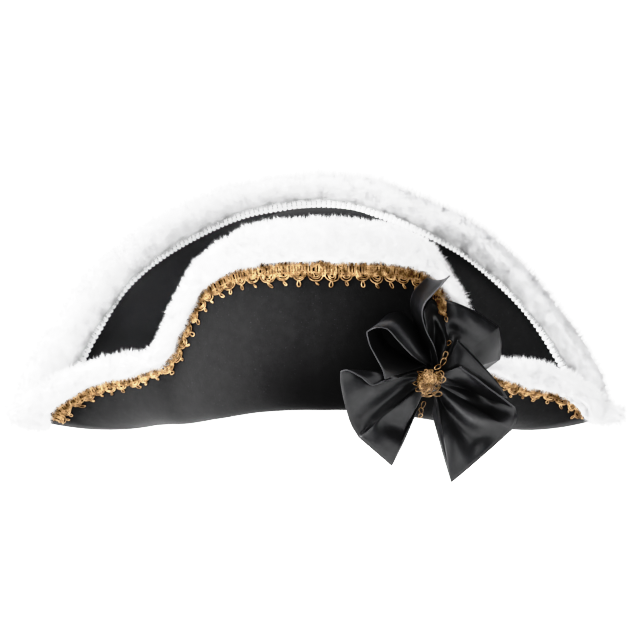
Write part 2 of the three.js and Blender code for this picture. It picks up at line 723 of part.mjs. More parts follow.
function addPiece(name, geometry, material) {
  const mesh = new THREE.Mesh(geometry, material);
  mesh.name = name;
  hat.add(mesh);
}

const tapeCurve = feltCurve(tapeRows, false);
const braidCurve = feltCurve(braidRows, true);
const tapeSolid = bandSolid(tapeCurve, [-tapeWidth, 0], -tapeLow, -tapeHigh);

const feltRoom = toSolid(brimShell(feltThickness / 2 + seatGap, seatGap));
const tapeRoom = bandSolid(tapeCurve, [-tapeWidth - seatGap, 0], seatGap - tapeLow, -tapeHigh - seatGap);
const braidRoom = bandSolid(braidCurve, [-seatGap, braidUnderFur], braidLow - seatGap, braidHigh + seatGap);
const strapRoom = toSolid(strapGeometry(seatGap));

const { frontFrom, frontTo, backFrom, backTo } = furTurns;
const backFurSolid = furSolid(backFur, backFrom, backTo, [feltRoom, tapeRoom]);
const frontFurSolid = furSolid(frontFur, frontFrom, frontTo, [feltRoom, braidRoom, strapRoom]);

addPiece('crown', crownGeometry(), feltBlack);
addPiece('brim', brimShell(feltThickness / 2, 0), feltBlack);
addPiece('back_fur', toGeometry(backFurSolid), furWhite);
addPiece('back_fur_tape', toGeometry(tapeSolid), tapeWhite);
addPiece('front_fur', toGeometry(frontFurSolid), furWhite);
addPiece('front_braid', braidGeometry(braidCurve), braidGold);
addPiece('bow', toGeometry(bowSolid([feltRoom, strapRoom])), satinBlack);
addPiece('bow_strap', strapGeometry(0), braidGold);

export default hat;
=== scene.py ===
import math

import bpy
import numpy as np
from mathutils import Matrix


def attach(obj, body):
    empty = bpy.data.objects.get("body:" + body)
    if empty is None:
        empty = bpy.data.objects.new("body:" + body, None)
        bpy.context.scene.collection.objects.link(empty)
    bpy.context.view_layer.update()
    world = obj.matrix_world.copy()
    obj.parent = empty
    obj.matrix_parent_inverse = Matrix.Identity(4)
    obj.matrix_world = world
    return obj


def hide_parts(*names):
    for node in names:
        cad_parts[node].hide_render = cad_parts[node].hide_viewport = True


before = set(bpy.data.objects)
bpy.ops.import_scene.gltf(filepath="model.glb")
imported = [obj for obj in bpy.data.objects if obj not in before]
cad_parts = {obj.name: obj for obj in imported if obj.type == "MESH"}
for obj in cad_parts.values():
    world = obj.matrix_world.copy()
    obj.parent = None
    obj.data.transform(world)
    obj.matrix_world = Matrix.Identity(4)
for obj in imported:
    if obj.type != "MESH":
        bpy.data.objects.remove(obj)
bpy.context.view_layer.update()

# A black felt bicorne with white fur edges, gold gimp braid and a satin bow.
# Lengths are in metres. The tables are in millimetres, and tableOf turns them into metres.
mm = 0.001
triangleCounts = []
print("frame loaded:", len(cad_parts), "nodes")


# Camera, light and floor

view = {"target": (-0.00075, 0.0, 0.061), "elevation": 5.0, "distance": 2.0, "lens": 150.0, "sensor": 36.0,
        "farthest": 50.0}
studio = {"floorZ": -0.30, "floorSize": 60.0, "worldSeen": 1.6, "worldLight": 0.15}
sky = {"strength": 5.4, "spread": 70.0, "lean": (-0.52, 0.04)}
lamps = [
    {"name": "key", "at": (-2.3, -1.15, 0.5), "size": 0.8, "watts": 84.0},
    {"name": "fill", "at": (2.1, -1.5, 0.5), "size": 1.2, "watts": 16.0},
    {"name": "front", "at": (-0.2, -2.2, 1.3), "size": 1.0, "watts": 11.0},
    {"name": "top", "at": (-0.5, -0.9, 2.0), "size": 0.9, "watts": 30.0},
    {"name": "rear", "at": (0.3, 1.9, 0.8), "size": 1.2, "watts": 20.0},
]
tones = {"brightest": 2.0, "curve": [
    (0.0, 0.0), (0.018, 0.0035), (0.03, 0.0065), (0.045, 0.017), (0.068, 0.050), (0.12, 0.125), (0.25, 0.37),
    (0.4, 0.68), (0.47, 0.77), (0.56, 0.865), (0.75, 0.925), (1.0, 0.96), (1.35, 0.988), (1.4, 1.0),
]}


# A long lens on a level line of sight from the front, tilted down by the elevation
def makeCamera():
    tilt = math.radians(view["elevation"])
    data = bpy.data.cameras.new("camera")
    data.lens, data.sensor_width = view["lens"], view["sensor"]
    data.clip_end = view["farthest"]
    camera = bpy.data.objects.new("camera", data)
    x, y, z = view["target"]
    reach = view["distance"]
    camera.location = (x, y - reach * math.cos(tilt), z + reach * math.sin(tilt))
    camera.rotation_euler = (math.pi / 2 - tilt, 0, 0)
    bpy.context.collection.objects.link(camera)
    bpy.context.scene.camera = camera


def makeLamps():
    for lamp in lamps:
        data = bpy.data.lights.new(lamp["name"], "AREA")
        data.shape, data.size, data.energy = "DISK", lamp["size"], lamp["watts"]
        light = bpy.data.objects.new(lamp["name"], data)
        light.location = lamp["at"]
        away = light.location.copy()
        away.z -= view["target"][2]
        light.rotation_euler = away.to_track_quat("Z", "Y").to_euler()
        bpy.context.collection.objects.link(light)
    data = bpy.data.lights.new("sky", "SUN")
    data.energy, data.angle = sky["strength"], math.radians(sky["spread"])
    light = bpy.data.objects.new("sky", data)
    light.rotation_euler = (sky["lean"][1], sky["lean"][0], 0)
    bpy.context.collection.objects.link(light)


# The picture's tones: deep blacks, and whites that roll off softly
def setTones():
    settings = bpy.context.scene.view_settings
    settings.view_transform = "Standard"
    settings.use_curve_mapping = True
    mapping = settings.curve_mapping
    mapping.clip_max_x = tones["brightest"]
    curve = mapping.curves[3]                               # the curve for all three colours
    for _ in tones["curve"][2:]:
        curve.points.new(0.5, 0.5)
    for point, place in zip(curve.points, tones["curve"]):
        point.location = place
        point.handle_type = "VECTOR"
    mapping.update()


makeCamera()
makeLamps()
setTones()
print("camera and lamps placed")


# Shader maths in Python: a Field is a socket, and arithmetic on it adds Math nodes

class Field:
    def __init__(self, look, socket):
        self.look, self.socket = look, socket

    def __add__(self, other):
        return self.look.math("ADD", self, other)

    def __mul__(self, other):
        return self.look.math("MULTIPLY", self, other)

    __radd__ = __add__
    __rmul__ = __mul__


class Look:
    def __init__(self, name, **constants):
        self.material = bpy.data.materials.new(name)
        self.material.use_nodes = True
        self.tree = self.material.node_tree
        self.shader = self.tree.nodes["Principled BSDF"]
        for socket, value in constants.items():
            self.shader.inputs[socket.replace("_", " ")].default_value = value

    # Any node: its type, its settings, then what goes into its sockets
    def node(self, kind, settings=None, sockets=None, output=0):
        made = self.tree.nodes.new(kind)
        for name, value in (settings or {}).items():
            setattr(made, name, value)
        for name, value in (sockets or {}).items():
            self.join(made.inputs[name], value)
        return Field(self, made.outputs[output])

    def join(self, socket, value):
        if isinstance(value, Field):
            self.tree.links.new(value.socket, socket)
        else:
            socket.default_value = value

    def math(self, operation, a, b=0.0):
        return self.node("ShaderNodeMath", {"operation": operation}, {0: a, 1: b})

    def place(self):
        return self.node("ShaderNodeTexCoord", output="Object")

    def own(self, name):
        return self.node("ShaderNodeAttribute", {"attribute_name": name}, output="Fac")

    # Noise in object space, or over a vector of its own: grain is its scale, detail and roughness
    def noise(self, grain, where=None):
        scale, detail, roughness = grain
        sockets = {"Vector": where or self.place(), "Scale": scale, "Detail": detail, "Roughness": roughness}
        return self.node("ShaderNodeTexNoise", None, sockets)

    # 0 below low, 1 above high, and a smooth step between
    def band(self, value, low, high):
        sockets = {"Value": value, "From Min": low, "From Max": high}
        return self.node("ShaderNodeMapRange", {"interpolation_type": "SMOOTHSTEP"}, sockets)

    def mix(self, share, a, b):
        return self.node("ShaderNodeMix", {"data_type": "RGBA"}, {0: share, 6: a, 7: b}, output=2)

    def bump(self, height, strength, distance):
        return self.node("ShaderNodeBump", None, {"Height": height, "Strength": strength, "Distance": distance})

    def feed(self, **links):
        for socket, value in links.items():
            self.join(self.shader.inputs[socket.replace("_", " ")], value)
        return self.material


# A linear colour, each part times a share
def tint(colour, share=1.0):
    return tuple(share * part for part in colour) + (1,)


# Finishes: colours, grains (scale, detail, roughness), bands (low, high) of the noise or attribute
# that mixes two colours, and bumps (strength, height in metres)

# In feltFinish, inside is painted light on the flaps' inner face and the crown, and deep is painted shade low on the
# front flap
feltFinish = {
    "dark": tint((0.0110, 0.0110, 0.0112)), "light": tint((0.0140, 0.0140, 0.0142)), "lint": tint((0.04, 0.04, 0.042)),
    "inside": tint((0.160, 0.160, 0.164)), "deep": tint((0.0035, 0.0035, 0.0036)), "linty": 0.5, "fuzz": (0.6, 0.8),
    "mottle": (170.0, 4.0, 0.6), "fibre": (1300.0, 3.0, 0.7), "specks": (900.0, 1.0, 0.5), "nap": (240.0, 3.0, 0.6),
    "toneBand": (0.55, 1.1), "lintBand": (0.72, 0.76), "bump": (0.5, 0.0004),
}


# Black fibres in two tones with a little lint; the brim's own attributes say where light is painted on its inner face
# and shade low on the front flap
def feltLook(name, sheen):
    look = Look(name, Roughness=0.95, Sheen_Weight=sheen, Sheen_Roughness=0.6, Specular_IOR_Level=0.04)
    mottle, fibre = look.noise(feltFinish["mottle"]), look.noise(feltFinish["fibre"])
    lint = look.band(look.noise(feltFinish["specks"]), *feltFinish["lintBand"])
    byFibre, byNap = feltFinish["fuzz"]
    tone = look.band(mottle + fibre * byFibre, *feltFinish["toneBand"])
    colour = look.mix(tone, feltFinish["dark"], feltFinish["light"])
    colour = look.mix(lint * feltFinish["linty"], colour, feltFinish["lint"])
    # painted light on the inner face and the crown
    colour = look.mix(look.own("inside"), colour, feltFinish["inside"])
    # painted shade low on the front flap's middle
    colour = look.mix(look.own("frontShade"), colour, feltFinish["deep"])
    height = fibre * byFibre + look.noise(feltFinish["nap"]) * byNap
    return look.feed(Base_Color=colour, Normal=look.bump(height, *feltFinish["bump"]))


# In furFinish, the darker root is painted shade deep in the pile, the grey mixed in by the shade attribute is painted
# shade, and glow is the strength of the pile's painted light
furFinish = {
    "root": tint((0.40, 0.40, 0.405)), "tip": tint((0.47, 0.47, 0.472)), "shade": tint((0.39, 0.39, 0.395)),
    "paintedShade": tint((0.23, 0.23, 0.233)), "shaded": 0.35, "patches": (160.0, 3.0, 0.6), "fibre": (900.0, 3.0, 0.7),
    "patchBand": (0.42, 0.72), "tipBand": (0.0, 0.75), "bump": (0.35, 0.0006), "glow": 0.40,
}


# The pile is paler towards its tips, a painted shade deep in the pile: the piece's own attributes are
# the share of the way out to them, its painted shade, and its glow, painted light that lifts the pile's shadows
def furLook():
    look = Look("whiteFur", Roughness=0.85, Sheen_Weight=0.2, Sheen_Roughness=0.5, Specular_IOR_Level=0.1,
                Emission_Strength=furFinish["glow"])
    patch = look.band(look.noise(furFinish["patches"]), *furFinish["patchBand"])
    tip = look.mix(patch * furFinish["shaded"], furFinish["tip"], furFinish["shade"])
    colour = look.mix(look.band(look.own("wayOut"), *furFinish["tipBand"]), furFinish["root"], tip)
    # painted shade: the fur greyed where its shade attribute says
    colour = look.mix(look.own("shade"), colour, furFinish["paintedShade"])
    bump = look.bump(look.noise(furFinish["fibre"]), *furFinish["bump"])
    return look.feed(Base_Color=colour, Emission_Color=look.own("glow"), Normal=bump)


# In tapeFinish, glow is painted light, and dip and dipGlow are painted shade in the hollows
tapeFinish = {
    "thread": tint((0.72, 0.72, 0.72)), "dip": tint((0.20, 0.20, 0.205)), "glow": tint((1, 1, 1)),
    "dipGlow": tint((0.35, 0.35, 0.35)), "fibre": (1500.0, 2.0, 0.6), "dipBand": (0.2, 0.9),
    "bump": (0.4, 0.0003),
}


# White thread that glows with painted light, greyer and with less of that glow in the hollows between the ribs, a
# painted shade
def tapeLook():
    look = Look("knittedTape", Roughness=0.8, Sheen_Weight=0.2, Specular_IOR_Level=0.3, Emission_Strength=0.24)
    dip = look.band(look.own("hollow"), *tapeFinish["dipBand"])
    colour = look.mix(dip, tapeFinish["thread"], tapeFinish["dip"])
    glow = look.mix(dip, tapeFinish["glow"], tapeFinish["dipGlow"])
    bump = look.bump(look.noise(tapeFinish["fibre"]), *tapeFinish["bump"])
    return look.feed(Base_Color=colour, Emission_Color=glow, Normal=bump)


goldFinish = {
    "deep": (0.10, 0.055, 0.022), "mid": (0.38, 0.245, 0.125), "pale": (0.68, 0.48, 0.28),
    "tarnish": (260.0, 3.0, 0.6), "glint": 0.12, "midBand": (0.3, 0.62), "paleBand": (0.52, 0.78),
    "bump": (0.5, 0.00012),
}


# Metallised thread wound round a cotton core: its windings cross the cord at a slant
def goldLook(name, share):
    look = Look(name, Roughness=0.38, Metallic=0.4, Specular_IOR_Level=0.5)
    winding = look.math("SINE", look.own("windings") * (2 * math.pi))
    tone = look.noise(goldFinish["tarnish"])
    deep, mid, pale = [tint(goldFinish[key], share) for key in ("deep", "mid", "pale")]
    colour = look.mix(look.band(tone, *goldFinish["midBand"]), deep, mid)
    glint = look.band(tone + winding * goldFinish["glint"], *goldFinish["paleBand"])
    colour = look.mix(glint, colour, pale)
    return look.feed(Base_Color=colour, Normal=look.bump(winding, *goldFinish["bump"]))


satinFinish = {
    "face": (0.0085, 0.0085, 0.009), "wearAndHighlight": (0.013, 0.013, 0.0138), "pale": (0.036, 0.036, 0.037),
    "patches": (90.0, 3.0, 0.6), "patchBand": (0.35, 0.7), "weave": (1.0, 2.0, 0.5), "threads": (350.0, 350.0, 2600.0),
    "bump": (0.25, 0.00008),
}


# Ribbon: two blacks in patches and a fine weave, noise drawn out along the threads, with painted highlights where the
# lobe's attribute says
def satinLook(name, lift, roughness):
    look = Look(name, Roughness=roughness, Specular_IOR_Level=0.36)
    face, wearAndHighlight = [tint(satinFinish[key], lift) for key in ("face", "wearAndHighlight")]
    stretched = look.node("ShaderNodeMapping", None, {"Vector": look.place(), "Scale": satinFinish["threads"]})
    patch = look.band(look.noise(satinFinish["patches"]), *satinFinish["patchBand"])
    colour = look.mix(patch, face, wearAndHighlight)
    # painted highlights on some folds
    colour = look.mix(look.own("wearAndHighlight"), colour, tint(satinFinish["pale"]))
    bump = look.bump(look.noise(satinFinish["weave"], stretched), *satinFinish["bump"])
    return look.feed(Base_Color=colour, Normal=bump)


floorFinish = {"low": tint((0.93, 0.93, 0.93)), "high": tint((0.95, 0.95, 0.95)), "patches": (3.0, 2.0, 0.5)}


def floorLook():
    look = Look("paleFloor", Roughness=0.9, Specular_IOR_Level=0.1)
    return look.feed(Base_Color=look.mix(look.noise(floorFinish["patches"]), floorFinish["low"], floorFinish["high"]))


# The world lights softly and is seen as a plain near-white backdrop
def makeWorld():
    world = bpy.data.worlds.new("studio")
    world.use_nodes = True
    nodes, links = world.node_tree.nodes, world.node_tree.links
    background = nodes["Background"]
    background.inputs["Color"].default_value = (1, 1, 1, 1)
    path, strength = nodes.new("ShaderNodeLightPath"), nodes.new("ShaderNodeMapRange")
    strength.inputs["To Min"].default_value = studio["worldLight"]
    strength.inputs["To Max"].default_value = studio["worldSeen"]
    links.new(path.outputs["Is Camera Ray"], strength.inputs["Value"])
    links.new(strength.outputs["Result"], background.inputs["Strength"])
    bpy.context.scene.world = world


makeWorld()


# Meshes from arrays

# A mesh from points and sets of faces, each set an array with one face a row
def meshOf(name, points, faceSets, material, attributes=None):
    mesh = bpy.data.meshes.new(name)
    corners = np.concatenate([faces.ravel() for faces in faceSets]).astype(np.int32)
    sizes = np.concatenate([np.full(len(faces), faces.shape[1]) for faces in faceSets])
    starts = np.concatenate([[0], np.cumsum(sizes)[:-1]]).astype(np.int32)
    mesh.vertices.add(len(points))
    mesh.vertices.foreach_set("co", np.ascontiguousarray(points, dtype=np.float32).ravel())
    mesh.loops.add(len(corners))
    mesh.loops.foreach_set("vertex_index", corners)
    mesh.polygons.add(len(sizes))
    mesh.polygons.foreach_set("loop_start", starts)
    mesh.polygons.foreach_set("use_smooth", np.ones(len(sizes), bool))
    for key, values in (attributes or {}).items():
        mesh.attributes.new(key, "FLOAT", "POINT").data.foreach_set("value", values.astype(np.float32).ravel())
    mesh.update()
    mesh.validate()
    mesh.materials.append(material)
    piece = bpy.data.objects.new(name, mesh)
    bpy.context.collection.objects.link(piece)
    return piece


# A finished piece rides the hat's one body and stands for the node of the solids that it replaces
def addPiece(piece, node):
    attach(piece, "root")
    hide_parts(node)
    triangleCounts.append(sum(len(face.vertices) - 2 for face in piece.data.polygons))
    print(piece.name, triangleCounts[-1], "triangles")
    return piece


# Quads between the points of a grid, whose rows or columns may close on themselves
def gridFaces(rows, columns, closeRows=False, closeColumns=False):
    i, j = np.meshgrid(np.arange(rows - 1 + closeRows), np.arange(columns - 1 + closeColumns), indexing="ij")
    nextRow, nextColumn = (i + 1) % rows, (j + 1) % columns
    corners = [i * columns + j, i * columns + nextColumn, nextRow * columns + nextColumn, nextRow * columns + j]
    return np.stack(corners, -1).reshape(-1, 4)


# Six times the volume inside the faces: the sum of a x b . c over their triangles
def signedVolume(points, faces):
    total = 0.0
    for k in range(1, faces.shape[1] - 1):
        a, b, c = points[faces[:, 0]], points[faces[:, k]], points[faces[:, k + 1]]
        total += np.einsum("ij,ij->", a, np.cross(b, c))
    return total


def facingOut(points, faceSets):
    if sum(signedVolume(points, faces) for faces in faceSets) < 0:
        return [faces[:, ::-1] for faces in faceSets]
    return faceSets


def unit(vectors):
    return vectors / np.maximum(np.linalg.norm(vectors, axis=-1, keepdims=True), 1e-12)


def dots(a, b):
    return np.einsum("ij,ij->i", a, b)


def circle(steps):
    return np.linspace(0, 2 * np.pi, steps, endpoint=False)


# How far along its line each point lies, from 0 at the first
def lengthsAlong(line):
    steps = np.linalg.norm(np.diff(line, axis=-2), axis=-1)
    return np.concatenate([0 * steps[..., :1], steps.cumsum(axis=-1)], axis=-1)


# The normal of a grid: across its rows x along its columns
def gridNormals(grid):
    return unit(np.cross(np.gradient(grid, axis=0), np.gradient(grid, axis=1)))


# A sheet from the grids of its two faces, closed all round its rim
def sheetArrays(front, back):
    rows, columns = front.shape[:2]
    points = np.concatenate([front, back[:, ::-1]], axis=1).reshape(-1, 3)
    j = np.arange(columns - 1)
    cap = np.stack([j, 2 * columns - 1 - j, 2 * columns - 2 - j, j + 1], -1)
    faceSets = [gridFaces(rows, 2 * columns, False, True), cap, (cap + (rows - 1) * 2 * columns)[:, ::-1]]
    return points, facingOut(points, faceSets)


windingPitch = 0.0011  # how much of a cord goes to one turn of its thread


# Cords: a circle carried along each of several paths, which all have as many points. The paths
# lie about square to the ups that go with them. A cord is joined up or capped at its ends, and its
# windings count the turns of its thread.
def cordArrays(paths, ups, radius, sides, joined=False):
    count, steps = paths.shape[:2]
    if joined:
        along = unit(np.roll(paths, -1, axis=1) - np.roll(paths, 1, axis=1))
    else:
        along = unit(np.gradient(paths, axis=1))
    side = unit(np.cross(along, ups))
    rise = np.cross(side, along)
    angles = circle(sides)
    ring = np.cos(angles)[:, None] * side[:, :, None] + np.sin(angles)[:, None] * rise[:, :, None]
    points = (paths[:, :, None] + ring * radius).reshape(-1, 3)
    firsts = (np.arange(count) * steps * sides)[:, None, None]
    faceSets = [(gridFaces(steps, sides, joined, True)[None] + firsts).reshape(-1, 4)]
    if not joined:
        cap = np.arange(sides)[None]
        faceSets += [(cap[:, ::-1] + firsts[:, 0]), (cap + firsts[:, 0] + (steps - 1) * sides)]
    windings = lengthsAlong(paths)[:, :, None] / windingPitch + angles / (2 * np.pi)
    return points, facingOut(points, faceSets), windings.ravel()


# Several lots of points and faces as one
def joinArrays(lots):
    firsts = np.cumsum([0] + [len(points) for points, _ in lots[:-1]])
    points = np.concatenate([points for points, _ in lots])
    faceSets = [faces + first for (_, sets), first in zip(lots, firsts) for faces in sets]
    return points, faceSets


# A table's columns by name: all are lengths in millimetres but the plain numbers
plainNumbers = ("turn", "reach", "sharp", "rim")


def tableOf(columns, rows):
    data = zip(columns.split(), np.array(rows, dtype=float).T)
    return {name: column * (1 if name in plainNumbers else mm) for name, column in data}


# The smooth curve through one column: cubic Hermite, each row's slope being the one between its
# neighbours, or less where the table has a row sharp
def tableAt(table, key, column, values):
    keys, data = table[key], table[column]
    before, after = np.maximum(np.arange(len(keys)) - 1, 0), np.minimum(np.arange(len(keys)) + 1, len(keys) - 1)
    slopes = (data[after] - data[before]) / (keys[after] - keys[before]) * (1 - table.get("sharp", 0 * keys))
    i = np.clip(np.searchsorted(keys, values) - 1, 0, len(keys) - 2)
    step = keys[i + 1] - keys[i]
    t = (values - keys[i]) / step
    start = 2 * t ** 3 - 3 * t ** 2 + 1
    curve = data[i] * start + data[i + 1] * (1 - start)
    return curve + step * (slopes[i] * (t ** 3 - 2 * t ** 2 + t) + slopes[i + 1] * (t ** 3 - t ** 2))


# A smooth random value over the plane: cubic steps between the corners of a grid of random numbers
def patchNoise(u, v, seed):
    corners = np.random.default_rng(seed).uniform(-1, 1, (64, 64))
    i, j = np.floor(u).astype(int), np.floor(v).astype(int)
    s, t = u - i, v - j
    s, t = s * s * (3 - 2 * s), t * t * (3 - 2 * t)
    at = lambda a, b: corners[(i + a) % 64, (j + b) % 64]
    return (at(0, 0) * (1 - s) + at(1, 0) * s) * (1 - t) + (at(0, 1) * (1 - s) + at(1, 1) * s) * t


# Felt: the crown and the brim

felt = {
    "thickness": 2.0 * mm, "halfWidth": 88 * mm, "halfLength": 102.5 * mm, "top": 145 * mm, "fullness": 2.7,
    "seamRise": 7 * mm, "seamGap": -0.3 * mm, "pointStart": 120 * mm, "pointShortening": 0.9,
    "turns": 216, "reaches": 40, "crowding": 0.85, "wave": 0.35 * mm,
    "crownTurns": 120, "crownClimbs": 30, "crownCrowding": 1.15, "crownClosed": 0.995, "crownPaintedLight": 0.046,
    "nudge": (0.5, 0.01),  # turn and reach over which the felt's slope is taken
    # painted light: the inside of the rear flap is lightened, more so on the left (x) and on the left's top (z)
    "insideLight": (0.40, 0.07), "insideLightAcross": (-60 * mm, 80 * mm),
    "insideLightTop": 0.85, "insideLightTopAcross": (-60 * mm, 0), "insideLightTopRise": (45 * mm, 90 * mm),
    # painted shade: the front flap's outer face is blacker low on its middle (x and z)
    "frontShadeAt": (-8 * mm, 14 * mm), "frontShadeHalf": (44 * mm, 32 * mm), "frontShadeBefore": -60 * mm,
}
# The two flaps: where the felt's fold and its edge lie, by turn away from the middle of each
frontRows = tableOf("turn edgeX edgeY edgeZ foldX foldY foldZ", [
    (0, 0, 112, 137, 0, 123, -1), (10, 23, 110, 136, 20, 121, 0), (20, 46, 103, 131.5, 41, 114, -1),
    (30, 67, 93, 121.5, 62, 102, -5), (38, 83, 84, 107, 78, 89, -12), (45, 94, 76, 89, 92, 76, -19),
    (52, 102, 69, 69, 104, 62, -23), (58, 110, 62, 50, 113, 50, -26), (63, 121, 54, 37, 121, 41, -28),
    (68, 138, 41, 32, 128, 33, -30), (74, 159, 27, 28, 136, 25, -31), (80, 182, 15, 18, 143, 17, -32),
    (86, 207, 6, 2, 149, 8, -32), (90, 218, 0, -13, 150, 0, -32),
])
backRows = tableOf("turn edgeX edgeY edgeZ foldX foldY foldZ", [
    (0, 0, 112, 158, 0, 123, -4), (12, 29, 109, 156, 25, 120, -5), (24, 58, 99, 149, 50, 110, -8),
    (36, 90, 81, 137, 75, 92, -14), (48, 121, 58, 121, 98, 68, -21), (58, 147, 38, 101.5, 115, 48, -26),
    (67, 170, 23, 77, 129, 32, -30), (75, 190, 12, 49, 138, 21, -31), (83, 207, 6, 20, 146, 11, -32),
    (90, 218, 0, -13, 150, 0, -32),
])


# The seam between brim and crown: an oval, raised at its front and back. Turn 0 is the front,
# 90 the right point, 180 the back.
def seamPoint(turn, away):
    angle = np.radians(turn)
    x = (felt["halfWidth"] + away) * np.sin(angle)
    y = -(felt["halfLength"] + away) * np.cos(angle)
    return np.stack(np.broadcast_arrays(x, y, felt["seamRise"] * np.cos(2 * angle)), -1)


# Whether a turn lies on the front flap, and how far it is from the middle of its flap
def flapTurn(turn):
    away = np.abs((turn + 180) % 360 - 180)
    front = away <= 90
    return front, np.where(front, away, 180 - away)


# The fold or the edge of the felt at a turn: the flap's table, mirrored left to right. The right
# point is drawn in a little.
def rowPoint(turn, name):
    front, rowTurn = flapTurn(turn)
    side = np.where(np.sin(np.radians(turn)) < 0, -1, 1)
    x, y, z = [np.where(front, tableAt(frontRows, "turn", name + axis, rowTurn),
                        tableAt(backRows, "turn", name + axis, rowTurn)) for axis in "XYZ"]
    start = felt["pointStart"]
    x = np.where((side > 0) & (x > start), start + (x - start) * felt["pointShortening"], x)
    return np.stack([side * x, np.where(front, -y, y), z], -1)


# A line of felt runs from the seam round its fold to its edge: a quadratic Bezier curve over reach
def brimPoint(turn, reach):
    turn, reach = np.broadcast_arrays(np.asarray(turn, float), np.asarray(reach, float))
    r = reach[..., None]
    seam, fold, edge = seamPoint(turn, felt["seamGap"]), rowPoint(turn, "fold"), rowPoint(turn, "edge")
    return seam * (1 - r) ** 2 + fold * 2 * r * (1 - r) + edge * r ** 2


# Out of the face that shows from outside and below: along the turns x along the reach
def brimNormal(turn, reach):
    byTurn, byReach = felt["nudge"]
    along = brimPoint(turn + byTurn, reach) - brimPoint(turn - byTurn, reach)
    out = brimPoint(turn, np.minimum(1, reach + byReach)) - brimPoint(turn, np.maximum(0, reach - byReach))
    return unit(np.cross(along, out))


# A place on the felt's middle face moved off it along its normal
def offFelt(turn, reach, height):
    turn, reach, height = np.broadcast_arrays(turn, reach, height)
    return brimPoint(turn, reach) + brimNormal(turn, reach) * height[..., None]


# The turn and reach of the felt at a given x and z, by Newton steps from a guess nearby. Each step
# is kept short, and the reach on the felt or just past its edge.
newton = {"steps": 7, "perTurn": 10, "perReach": 1000, "longest": 8, "reaches": (0.05, 1.08)}


def feltAt(x, z, turn, reach):
    longest = newton["longest"]
    for _ in range(newton["steps"]):
        p = brimPoint(turn, reach)
        byTurn = (brimPoint(turn + 1 / newton["perTurn"], reach) - p) * newton["perTurn"]
        byReach = (brimPoint(turn, reach + 1 / newton["perReach"]) - p) * newton["perReach"]
        scale = byTurn[..., 0] * byReach[..., 2] - byReach[..., 0] * byTurn[..., 2]
        dx, dz = x - p[..., 0], z - p[..., 2]
        turn = turn + np.clip((dx * byReach[..., 2] - byReach[..., 0] * dz) / scale, -longest, longest)
        reach = np.clip(reach + (byTurn[..., 0] * dz - dx * byTurn[..., 2]) / scale, *newton["reaches"])
    return turn, reach


# Where the trims lie on the felt: the braid's upper edge with its width, the tape's lower edge
braidRows = tableOf("turn reach width", [
    (-89, 0.903, 15), (-86.4, 0.917, 13), (-83.1, 0.919, 11), (-79.9, 0.921, 10.5), (-75.5, 0.919, 10.5),
    (-69.7, 0.925, 10.5), (-63.8, 0.965, 11), (-59.6, 0.937, 11.5), (-55.8, 0.941, 12), (-50.9, 0.944, 13),
    (-45.7, 0.941, 13), (-40.7, 0.945, 13), (-34.7, 0.930, 14), (-29.4, 0.922, 14.5), (-25.9, 0.919, 15),
    (-18.5, 0.910, 16), (-11.4, 0.907, 16.5), (-0.3, 0.907, 17), (12.3, 0.908, 17), (25.1, 0.926, 16),
    (33.8, 0.948, 14.5), (39.6, 0.965, 13), (47.2, 0.980, 12), (53, 0.965, 11), (60, 0.940, 11),
    (67, 0.918, 10.5), (71.6, 0.885, 10.5), (76, 0.886, 10.5), (79.3, 0.917, 10.5), (82.2, 0.944, 11),
    (84.4, 0.966, 12), (86.8, 0.973, 13), (88.7, 0.973, 14),
])
tapeRows = tableOf("turn reach", [
    (98, 0.895), (103.8, 0.902), (112.9, 0.910), (123, 0.911), (129.7, 0.915), (136.1, 0.922), (148.1, 0.928),
    (160.3, 0.934), (173.7, 0.942), (180.3, 0.943), (193.6, 0.942), (206.4, 0.948), (218.1, 0.945), (230, 0.941),
    (235.9, 0.938), (242.2, 0.927), (249.1, 0.898), (252.6, 0.886), (258, 0.862), (265, 0.850),
])


# How far a trim's line lies below the felt's edge
def belowEdge(rows, turn):
    reach = tableAt(rows, "turn", "reach", np.clip(turn, rows["turn"][0], rows["turn"][-1]))
    return np.linalg.norm(brimPoint(turn, 1.0) - brimPoint(turn, reach), axis=-1)


# The brim: two faces, half the felt's thickness to each side of brimPoint, with the slow waves of
# felt shaped by hand
def makeBrim(look):
    turn = np.linspace(0, 360, felt["turns"], endpoint=False)[:, None]
    reach = np.linspace(0, 1, felt["reaches"] + 1)[None, :] ** felt["crowding"]
    wave = felt["wave"] * patchNoise(turn / 14 + 3, reach * 5, 11) * np.sin(np.pi * reach) ** 0.5
    shown = offFelt(turn, reach, felt["thickness"] / 2 + wave)
    hidden = offFelt(turn, reach, -felt["thickness"] / 2 + wave)
    points = np.concatenate([shown, hidden[:, ::-1]], axis=1)
    faceSets = [gridFaces(felt["turns"], points.shape[1], True, True)]
    inner = np.arange(points.shape[1]) >= shown.shape[1]
    x, z = points[..., 0], points[..., 2]
    # painted light on the inner face, more on the left and on the left's top
    high = np.interp(z, felt["insideLightTopRise"], [0, felt["insideLightTop"]]) * np.interp(x, felt["insideLightTopAcross"], [1, 0])
    inside = inner * np.interp(x, felt["insideLightAcross"], felt["insideLight"]) * (1 + high)
    # painted shade, low on the front flap's middle
    off = (points[..., [0, 2]] - np.array(felt["frontShadeAt"])) / np.array(felt["frontShadeHalf"])
    frontShade = ~inner * np.exp(-(off ** 2).sum(axis=-1)) * (points[..., 1] < felt["frontShadeBefore"])
    points = points.reshape(-1, 3)
    values = {"inside": inside, "frontShade": frontShade}
    addPiece(meshOf("feltBrim", points, facingOut(points, faceSets), look, values), "brim")


